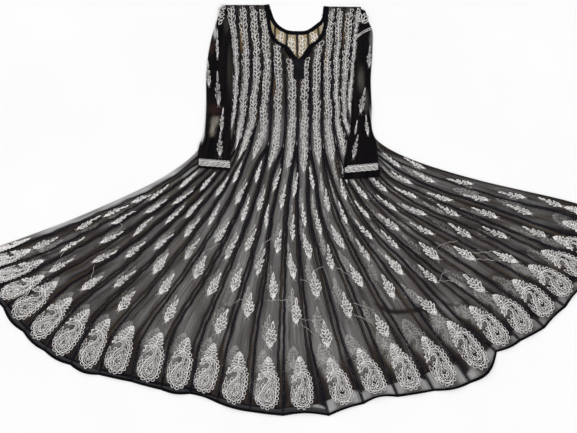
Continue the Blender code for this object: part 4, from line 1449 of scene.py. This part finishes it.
def paisley():
    """A mango shape with a curled tip: lines inside each other, leaves in its bulb, loops and a crown."""
    strands = []
    for inset in PAISLEY_LINES:
        path = spaced(np.concatenate(paisley_outline(inset)), STITCH_STEP)
        strands.append(Strand(path, FINE_THREAD if inset else THREAD, False))
    strands.append(zigzag(np.concatenate(paisley_outline(ZIGZAG_INSET)), ZIGZAG_REACH))
    spine, _, _ = paisley_spine()
    strands.append(Strand(spine[CURL_FROM:], FINE_THREAD, False))
    for x, y, lean, length in BULB_LEAVES:
        strands += leaf(length, INNER_LEAF, lean, (x, y), FINE_THREAD)
    for x, y, lean, length in HOLLOW_LEAVES:
        strands += leaf(length, INNER_LEAF, lean, (x, y), FAINT_THREAD)
    return strands + scallops() + crown()


def scallops():
    """Loops round the outside of a paisley, except under its crown."""
    strands = []
    left_side, bulb, right_side = paisley_outline(-SCALLOPS_OUTSIDE)
    rim = spaced(np.concatenate([left_side[-SCALLOPS_UP_LEFT:], bulb, right_side]), SCALLOP_PITCH)
    along = np.gradient(rim, axis=0)
    for point, way in zip(rim, along):
        if point[1] > UNDER_CROWN and CROWN_LEFT < point[0] < CROWN_RIGHT:
            continue
        on_curl = point[0] < CROWN_LEFT and point[1] > CURL_BOTTOM
        size = SMALL_SCALLOP if on_curl else SCALLOP
        outward = math.degrees(math.atan2(way[1], -way[0]))
        strands.append(Strand(turned(petal(*size), outward, point), FINE_THREAD, True))
    return strands


def crown():
    """Pairs of petals up a short stem above the paisley's curl."""
    x, y = CROWN_FOOT
    strands = leaf(CROWN_TIP, CROWN_TIP_WIDTH, 0, (x, y + CROWN_STEM - 1))
    for lean, length, rise in CROWN_PETALS:
        for side in (-1, 1):
            strands += leaf(length, CROWN_WIDTH, side * lean, (x, y + rise), FINE_THREAD, vein=True)
    strands.append(Strand(upright(x, y - 1, y + CROWN_STEM, CROWN_STEM_POINTS), THREAD, False))
    return strands


def vine(piece, low, high):
    """A band of leaves plaited up the middle of a panel, tapering at its lower end."""
    strands = []
    steps = int((high - VINE_LEAF - low) / VINE_PITCH * 2) + 1
    seed = piece.up[0]
    for number in range(steps):
        side = -1 if number % 2 else 1
        up = low + number * VINE_PITCH / 2 + VINE_UNEVEN * math.sin(number * 2.9 + seed)
        width = vine_width(piece, up, low)
        swell = vine_swell(up, number, seed)
        lean = math.degrees(math.atan2(VINE_LEAF_OUT * width * swell, VINE_LEAF / 2))
        lean += VINE_LEAN_VARIES * math.sin(number * 3.7 + seed)
        foot = (side * VINE_LEAF_OFF * width + vine_sway(up, seed), up)
        length, wide = min(VINE_LEAF * swell, high - up), VINE_LEAF_WIDE * width * swell
        strands += leaf(length, wide, side * min(lean, VINE_LEAN), foot, VINE_THREAD)
    points = max(int((high - low) / VINE_STEM_PITCH), 3)
    stem = np.linspace(low - VINE_STEM_BELOW, high - VINE_STEM_SHORT, points)
    strands.append(Strand(np.stack([vine_sway(stem, seed), stem], -1), VINE_THREAD, False))
    return strands


def vine_width(piece, up, low):
    """How wide a band of leaves is here: tapering at its foot, and wider towards the shoulder."""
    taper = min(VINE_TIP + (up - low) / VINE_TAPER, 1)
    near_top = min(max((up - piece.up[0]) / VINE_TOP_REACH + 1, 0), 1)
    return min(VINE_ROOM * piece.width_at(up), WIDEST_VINE) * taper * (1 + VINE_TOP_SWELL * near_top)


def vine_swell(up, number, seed):
    """How much larger or smaller than usual a leaf of the band is."""
    lumps, single, slow = VINE_LUMPS
    lump = lumps * math.sin(2 * math.pi * up / VINE_LUMP + seed)
    return 1 + lump + single * math.sin(number * 5.3) + slow * math.sin(0.17 * up + 2 * seed)


def vine_sway(up, seed):
    """How far a band of leaves wanders to the right of its panel's middle."""
    return VINE_SWAY * np.sin(VINE_SWAY_WAVE * up + seed) + VINE_SHIFT * math.sin(VINE_SHIFT_TURN * seed)


# Thread work on the two layers

def sew_paisley(stitches, piece, kali, drawing, thicker):
    """A paisley at the foot of a piece, fitted to its width and to its tip's place."""
    tall = (kali.tip - PAISLEY_BASE) / (PAISLEY_HIGH - PAISLEY_LOW)
    foot = PAISLEY_BASE - PAISLEY_LOW * tall
    widest = NARROWER_PAISLEY if piece.single else WIDEST_PAISLEY
    wide = min(widest, PAISLEY_ROOM * piece.width_at(foot + PAISLEY_WIDEST_AT) / PAISLEY_WIDTH)
    lean = kali.lean / kali.tip
    stitches.sew_on(piece, moved(drawing, kali.shift * wide, foot, wide, tall, lean), thicker)


def sew_sprigs(stitches, piece, kali, drawings, thicker):
    """Sprigs up the middle of a piece, slimmer where it is narrow and shorter near the waist."""
    full, slim = drawings
    for number, up in enumerate(kali.sprigs):
        uneven = 1 + SPRIG_WIDTH_VARIES * math.sin(up * 2.1)
        room = (SPRIG_ROOM * piece.width_at(up) - SPRIG_MARGIN) * uneven
        width = min(max(room, SLIMMEST_SPRIG), WIDEST_SPRIG)
        length = TALLEST_SPRIG - SHORTER_BY * min(max((up - SHORTER_FROM) / SHORTER_OVER, 0), 1)
        length += SPRIG_LENGTH_VARIES * math.sin(up * 0.9)
        sway = SPRIG_SWAYS * math.sin(up * 1.7 + number)
        wide, tall = width / SPRIG_WIDTH, length / SPRIG_LENGTH
        drawing = slim if width < SLIM_BELOW else full
        laid = moved(drawing, 0, up - length / 2, wide, tall, degrees=sway)
        stitches.sew_on(piece, laid, thicker)


def front_kali(k):
    """How front piece k is worked."""
    return KALIS[k - 1]


def back_kali(k):
    """How back piece k is worked: like the front piece on its left."""
    return KALIS[k if k == 1 else k - 1]


def sew_layer(pieces, prefix, thread, kali_of, thicker=1.0):
    """Paisleys, sprigs and bands of leaves over one layer, each as its own mesh."""
    paisleys, sprigs, vines = Stitches(), Stitches(), Stitches()
    mango = paisley()
    buds = (sprig(SPRIG_LEAVES, True), sprig(SLIM_LEAVES, False, FINE_THREAD))
    for k, piece in pieces.items():
        kali = kali_of(k)
        heavier = thicker if k >= SINGLE_FROM else 1.0
        sew_paisley(paisleys, piece, kali, mango, heavier)
        sew_sprigs(sprigs, piece, kali, buds, heavier)
        if k in VINE_END:
            high = piece.up[0] - VINE_SHORT + VINE_PAST_NECK.get(k, 0)
            vines.sew_on(piece, vine(piece, piece.up_at(VINE_END[k]), high))
    paisleys.finish(f"{prefix}_paisleys", thread)
    sprigs.finish(f"{prefix}_sprigs", thread)
    vines.finish(f"{prefix}_vines", thread)


def front_surface(x, y):
    """Points on the front's cloth at grid places, for threads that cross its seams."""
    height, _ = relief(x, y)
    return place(x, y, FRONT_HEIGHT + WALL + FLOAT_LIFT + height)


def float_threads(material):
    """The loose threads, each a little wavy where it isn't pulled tight."""
    stitches = Stitches()
    for number, path in enumerate(FLOAT_THREADS):
        line = smooth_line(path, FLOAT_STEPS)
        wave = 2 * math.pi / FLOAT_WAVE
        x = line[:, 0] + FLOAT_WAVER * np.sin(wave * line[:, 1] + number)
        y = line[:, 1] + FLOAT_WAVER * np.sin(wave * line[:, 0] + 2 * number)
        stitches.sew(front_surface(x, y), FLOAT_THREAD)
    return stitches.finish("float_threads", material)


# Bindings and the placket tab

def strip(name, inner, outer, bottoms, material):
    """A bias strip folded over an edge: a flat closed strip with rounded sides and a slight crown."""
    inner, outer = np.array(inner, float), np.array(outer, float)
    bottoms = np.array(bottoms, float)
    top = WALL + STRIP_RISE
    section = (
        (0, 0.3), (0.06, 0.08), (0.3, 0), (0.7, 0), (0.94, 0.08), (1, 0.3), (1, 0.6), (0.88, 0.92),
        (0.5, 1.0 + STRIP_CROWN / top), (0.12, 0.92), (0, 0.6),
    )
    rings = []
    for share, rise in section:
        flat = inner + (outer - inner) * share
        rings.append(place(flat[:, 0], flat[:, 1], bottoms + rise * top))
    points = np.stack(rings, axis=1)
    obj = add_mesh(name, points, ring_faces(len(inner), len(section)), (material,))
    close_and_face_outward(obj)
    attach(obj, "root")
    return obj


def close_and_face_outward(obj):
    """Fills a strip's two ends and turns its faces outward."""
    work = bmesh.new()
    work.from_mesh(obj.data)
    edges = [edge for edge in work.edges if edge.is_boundary]
    bmesh.ops.holes_fill(work, edges=edges, sides=0)
    bmesh.ops.recalc_face_normals(work, faces=work.faces)
    work.to_mesh(obj.data)
    work.free()


def hem_binding(pieces, node, material):
    """The strip that edges a layer's hem, carried from piece to piece."""
    inner, outer, heights = [], [], []
    share = np.linspace(0, 1, STRIP_COLUMNS)
    for piece in pieces:
        above = np.full(share.shape, float(piece.row_at(HEM_BINDING / SQUARE)))
        last = np.full(share.shape, float(piece.rows[-1]))
        start = np.stack(piece.grid(above, share), -1)
        end = np.stack(piece.grid(last, share), -1)
        height = piece.at(last, share)[0][:, 2] - WALL / 2
        keep = slice(1, None) if inner else slice(None)
        inner += start[keep].tolist()
        outer += end[keep].tolist()
        heights += height[keep].tolist()
    obj = strip(f"{node}_strip", inner, outer, heights, material)
    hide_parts(node)
    return obj


def neck_binding(line, height, node, material):
    """The strip round the neck, on the top edges of the panels that reach it."""
    path = [Vector(point) for point in line[1:-1]]
    inner = mitred(path, SEAM_GAP / SQUARE)
    outer = mitred(path, (SEAM_GAP + NECK_BINDING) / SQUARE)
    wider = [WIDER_AT_POINT if point.y > STRAIGHT_RUN else BINDING_OVERLAP for point in path]
    inner = [edge - (far - edge) * more for edge, far, more in zip(inner, outer, wider)]
    bottoms = [height] * len(path)
    obj = strip(f"{node}_strip", [tuple(p) for p in inner], [tuple(p) for p in outer], bottoms, material)
    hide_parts(node)
    return obj


def placket_tab(material):
    """The small tab under the point of the neck, with a little dome to it."""
    height = FRONT_HEIGHT + WALL + TAB_LIFT
    ys = np.linspace(TAB_UPPER, TAB_LOWER, TAB_ROWS)
    inner = [(TAB_LEFT, y) for y in ys]
    outer = [(TAB_RIGHT, y) for y in ys]
    obj = strip("placket_tab_cloth", inner, outer, [height] * len(ys), material)
    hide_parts("placket_tab")
    return obj


# Sleeves

def sleeve_section(width):
    """Places across and up round a sleeve folded in half, as a closed run of its cloth."""
    wall, gap = SLEEVE_WALL, SEAM_GAP
    layers = [wall / 2 + i * (wall + gap) for i in range(SLEEVE_LAYERS)]
    step, fold = SLEEVE_EDGE_STEP, width - 2 * wall - gap
    near, far = SLEEVE_EDGE, width - SLEEVE_EDGE
    runs = (
        (near, far, layers[0]), (far, step, layers[3]),
        (step + SLEEVE_EDGE_MORE, fold, layers[2]), (fold, near, layers[1]),
    )
    points = []
    for start, end, height in runs:
        for share in np.linspace(0, 1, SLEEVE_RUN):
            points.append((start + (end - start) * share, height))
    points.insert(SLEEVE_RUN, (width, (layers[0] + layers[3]) / 2))
    return points


def sleeve_rows(sections):
    """Smooth runs of a sleeve's two edges and their heights."""
    outer = smooth_line([section.outer for section in sections], SLEEVE_ROWS)
    inner = smooth_line([section.inner for section in sections], SLEEVE_ROWS)
    stations = np.arange(len(sections)) * SLEEVE_ROWS
    at = np.arange(len(outer))
    outer_height = np.interp(at, stations, [section.outer_height for section in sections])
    inner_height = np.interp(at, stations, [section.inner_height for section in sections])
    return outer, inner, outer_height, inner_height


def sleeve_wave(row, share):
    """Small slack waves in a sleeve's upper layers."""
    wave = SLEEVE_WAVE * np.sin(row * 0.55 + 4 * share) * np.sin(np.pi * share)
    return wave + SLEEVE_SWELL * np.sin(row * 0.21 + 9 * share)


def sleeve_lift(up, row, share):
    """How far the waves lift a place this high up in a sleeve: its top layer most."""
    return (up / (SLEEVE_LAYERS * SLEEVE_WALL)) ** 2 * np.abs(sleeve_wave(row, share))


def sleeve_points(sections):
    """Rings of points round a sleeve, the grid place under each, and how far round and down it is."""
    outer, inner, outer_height, inner_height = sleeve_rows(sections)
    rings, spots, runs = [], [], []
    for row, (a, b) in enumerate(zip(outer, inner)):
        width = math.hypot(*(b - a)) * SQUARE
        for across, up in sleeve_section(width):
            share = across / width
            base = outer_height[row] + share * (inner_height[row] - outer_height[row])
            spot = a + (b - a) * share
            rings.append(place(spot[0], spot[1], base + up + sleeve_lift(up, row, share)))
            spots.append(spot)
            runs.append((across / SQUARE, 2.0 * row))
    return np.array(rings).reshape(len(outer), -1, 3), np.array(spots), np.array(runs)


def sleeve_flat(sections, points):
    """The flat size of a sleeve's cloth, all round its tube, and its area."""
    outer, inner = sleeve_rows(sections)[:2]
    around = np.linalg.norm(np.diff(np.concatenate([points, points[:, :1]], 1), axis=1), axis=2).sum(1)
    steps = np.hypot(*np.diff((outer + inner) / 2, axis=0).T) * SQUARE
    width, length = float(around.max()), float(steps.sum())
    area = float(((around[1:] + around[:-1]) / 2 * steps).sum())
    return (width, length), min(area, width * length)


def sleeve(node, sections, patches, materials):
    """A folded sleeve's tube as a single sheet, with its flat size and area."""
    points, spots, runs = sleeve_points(sections)
    faces = ring_faces(*points.shape[:2])
    obj = add_mesh(f"{node}_cloth", points, faces, (materials["sleeve"],))
    set_values(obj, "gather", -patched(*spots.T, patches))
    set_values(obj, "warm", patched(*spots.T, SLEEVE_WARM))
    # Painted highlight where the sleeve lies slack
    set_values(obj, "pale", patched(*spots.T, SLEEVE_PAINTED_HIGHLIGHTS))
    set_run(obj, *runs.T, len(patches))
    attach(obj, "root")
    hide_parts(node)
    return obj, *sleeve_flat(sections, points)


class SleeveTop:
    """The upper face of a folded sleeve, for the stitches that lie on it."""

    def __init__(self, sections):
        self.outer, self.inner, self.outer_height, self.inner_height = sleeve_rows(sections)
        self.middle_y = (self.outer[:, 1] + self.inner[:, 1]) / 2

    def at(self, x, y):
        """Points in metres on the sleeve over grid places."""
        row = np.interp(y, self.middle_y, np.arange(len(self.middle_y)))
        at = np.arange(len(self.middle_y))
        outer_x = np.interp(row, at, self.outer[:, 0])
        inner_x = np.interp(row, at, self.inner[:, 0])
        share = np.clip((x - outer_x) / (inner_x - outer_x), 0, 1)
        low = np.interp(row, at, self.outer_height)
        high = np.interp(row, at, self.inner_height)
        top = (SLEEVE_LAYERS - 0.5) * SLEEVE_WALL + (SLEEVE_LAYERS - 1) * SEAM_GAP
        return place(x, y, low + share * (high - low) + top + sleeve_lift(top, row, share))


def sew_sleeve_sprig(stitches, top, item, drawing):
    """A sprig between two places on a sleeve."""
    low, high = np.array(item.low, float), np.array(item.high, float)
    way = high - low
    length = math.hypot(*way)
    way = way / length
    right = np.array((-way[1], way[0]))
    for strand in moved(drawing, 0, 0, item.width / SPRIG_WIDTH, length / SPRIG_LENGTH):
        spot = low + strand.path[:, :1] * right + strand.path[:, 1:] * way
        stitches.sew(top.at(spot[:, 0], spot[:, 1]), strand.width * SLEEVE_FINER, strand.closed)


def sew_cuff(stitches, top, start, end):
    """Wavy rows of stitches packed into a band along a cuff, with loops along its upper edge."""
    start, end = np.array(start, float), np.array(end, float)
    length = math.hypot(*(end - start))
    share = np.linspace(0, 1, int(length / CUFF_STEP) + 1)[:, None]
    line = start + (end - start) * share
    turn = 2 * math.pi * length * share[:, 0] / CUFF_WAVE_PITCH
    for row in range(CUFF_ROWS):
        wave = CUFF_WAVE * np.sin(turn + CUFF_WAVE_TURN * row)
        stitches.sew(top.at(line[:, 0], line[:, 1] + row * CUFF_DROP + wave), THREAD)
    for number in range(int(length / CUFF_LOOP_PITCH)):
        foot = start + (end - start) * (number + 0.5) * CUFF_LOOP_PITCH / length
        spot = foot + petal(*CUFF_LOOP) * (1, -1)
        stitches.sew(top.at(spot[:, 0], spot[:, 1]), FINE_THREAD, True)


def sew_head(stitches, top, petals, band):
    """Petals over a sleeve head, and a band of two lines below them."""
    for foot, degrees, length, width in petals:
        spot = np.array(foot) + turned(petal(length, width), degrees) * (1, -1)
        stitches.sew(top.at(spot[:, 0], spot[:, 1]), THREAD, True)
    if band:
        line = smooth_line(band, HEAD_BAND_STEPS)
        for drop in (0, HEAD_BAND_DROP):
            stitches.sew(top.at(line[:, 0], line[:, 1] + drop), THREAD)


def sew_sleeve(name, sections, sprigs, head, cuff, material, cuff_material):
    """All the thread work on one sleeve."""
    top = SleeveTop(sections)
    stitches = Stitches()
    drawing = sprig(SLIM_LEAVES, False, FINE_THREAD)
    for item in sprigs:
        sew_sleeve_sprig(stitches, top, item, drawing)
    sew_head(stitches, top, *head)
    cuffs = Stitches()
    sew_cuff(cuffs, top, *cuff)
    cuffs.finish(f"{name}_cuff", cuff_material)
    return stitches.finish(name, material)


# The photograph's view

def look_down():
    """A camera straight above the garment, framed like the photograph."""
    data = bpy.data.cameras.new("camera")
    data.sensor_width = SENSOR_WIDTH
    data.lens = SENSOR_WIDTH * CAMERA_HEIGHT / (PHOTO_WIDTH * SQUARE)
    data.clip_end = CAMERA_REACH
    camera = linked("camera", data)
    centre = place(PHOTO_WIDTH / 2, PHOTO_HEIGHT / 2, 0.0)
    camera.location = (centre[0], centre[1], CAMERA_HEIGHT + FRONT_HEIGHT)
    bpy.context.scene.camera = camera


def sun(name, strength, tilt, spin, softness):
    """A soft lamp, tilted from straight above and turned, in degrees."""
    data = bpy.data.lights.new(name, "SUN")
    data.energy = strength
    data.angle = math.radians(softness)
    linked(name, data).rotation_euler = (math.radians(tilt), 0, math.radians(spin))


def light_softly():
    """Soft light from above on two sides, under a white sky."""
    sun("key_light", *KEY_LIGHT)
    sun("fill_light", *FILL_LIGHT)
    world = bpy.data.worlds.new("studio")
    world.use_nodes = True
    background = world.node_tree.nodes["Background"]
    background.inputs["Color"].default_value = (1, 1, 1, 1)
    background.inputs["Strength"].default_value = SKY_STRENGTH
    bpy.context.scene.world = world
    bpy.context.scene.view_settings.view_transform = "Standard"


def lay_floor():
    """A broad plain floor under the garment."""
    corners = [(x * FLOOR_HALF, y * FLOOR_HALF, 0) for x, y in ((-1, -1), (1, -1), (1, 1), (-1, 1))]
    floor = add_mesh("floor", corners, [(0, 1, 2, 3)], (floor_paper(),), smooth=False)


# Putting it together

def lay_front(materials):
    """The front's cloth, bindings and tab, with its thread work."""
    pieces = front_pieces()
    hem = hem_binding(pieces.values(), "front_hem_binding", materials["binding"])
    neck = neck_binding(FRONT_EDGE, FRONT_HEIGHT, "front_neck_binding", materials["binding"])
    tab = placket_tab(materials["tab"])
    for k, piece in pieces.items():
        thin = WORN_EDGE if k == 1 else 0.0
        turn = FRONT_HEM_TURN if k in TURNED_FRONT else 0.0
        sides = ("left",) if k == 1 else ()
        obj = cloth_sheet(piece, materials, "front", turn, thin, sides)
        width, length, area = piece.flat_size()
    sew_layer(pieces, "front", materials["thread"], front_kali)
    float_threads(materials["float"])


def lay_back(materials):
    """The back's cloth and bindings, with its thread work."""
    pieces = back_pieces()
    hem = hem_binding(pieces.values(), "back_hem_binding", materials["binding"])
    neck = neck_binding(BACK_EDGE, BACK_HEIGHT, "back_neck_binding", materials["binding"])
    for k, piece in pieces.items():
        sides = {1: ("left",), RIGHT_BACK_SIDE: ("right",)}.get(k, ())
        obj = cloth_sheet(piece, materials, "back", BACK_HEM_TURN, open_sides=sides)
        width, length, area = piece.flat_size()
    # The back's thread is painted lighter to make up for the shade under the front
    sew_layer(pieces, "back", materials["back_thread"], back_kali, BACK_THICKER)


def lay_sleeves(materials):
    """The two sleeves, folded, with their thread work."""
    for node, sections, patches, lies_on in (
        ("sleeve_left", LEFT_SLEEVE, LEFT_PATCHES, "front_panel_04_cloth"),
        ("sleeve_right", RIGHT_SLEEVE, RIGHT_PATCHES, "front_panel_26_cloth"),
    ):
        obj, flat, area = sleeve(node, sections, patches, materials)
    threads = (materials["sleeve_thread"], materials["thread"])
    head = (LEFT_HEAD_PETALS, None)
    sew_sleeve("sleeve_left_stitches", LEFT_SLEEVE, LEFT_SLEEVE_SPRIGS, head, LEFT_CUFF, *threads)
    head = (RIGHT_HEAD_PETALS, RIGHT_HEAD_BAND)
    sew_sleeve("sleeve_right_stitches", RIGHT_SLEEVE, RIGHT_SLEEVE_SPRIGS, head, RIGHT_CUFF, *threads)


look_down()
light_softly()
lay_floor()
MATERIALS = make_materials()
lay_back(MATERIALS)
lay_front(MATERIALS)
lay_sleeves(MATERIALS)
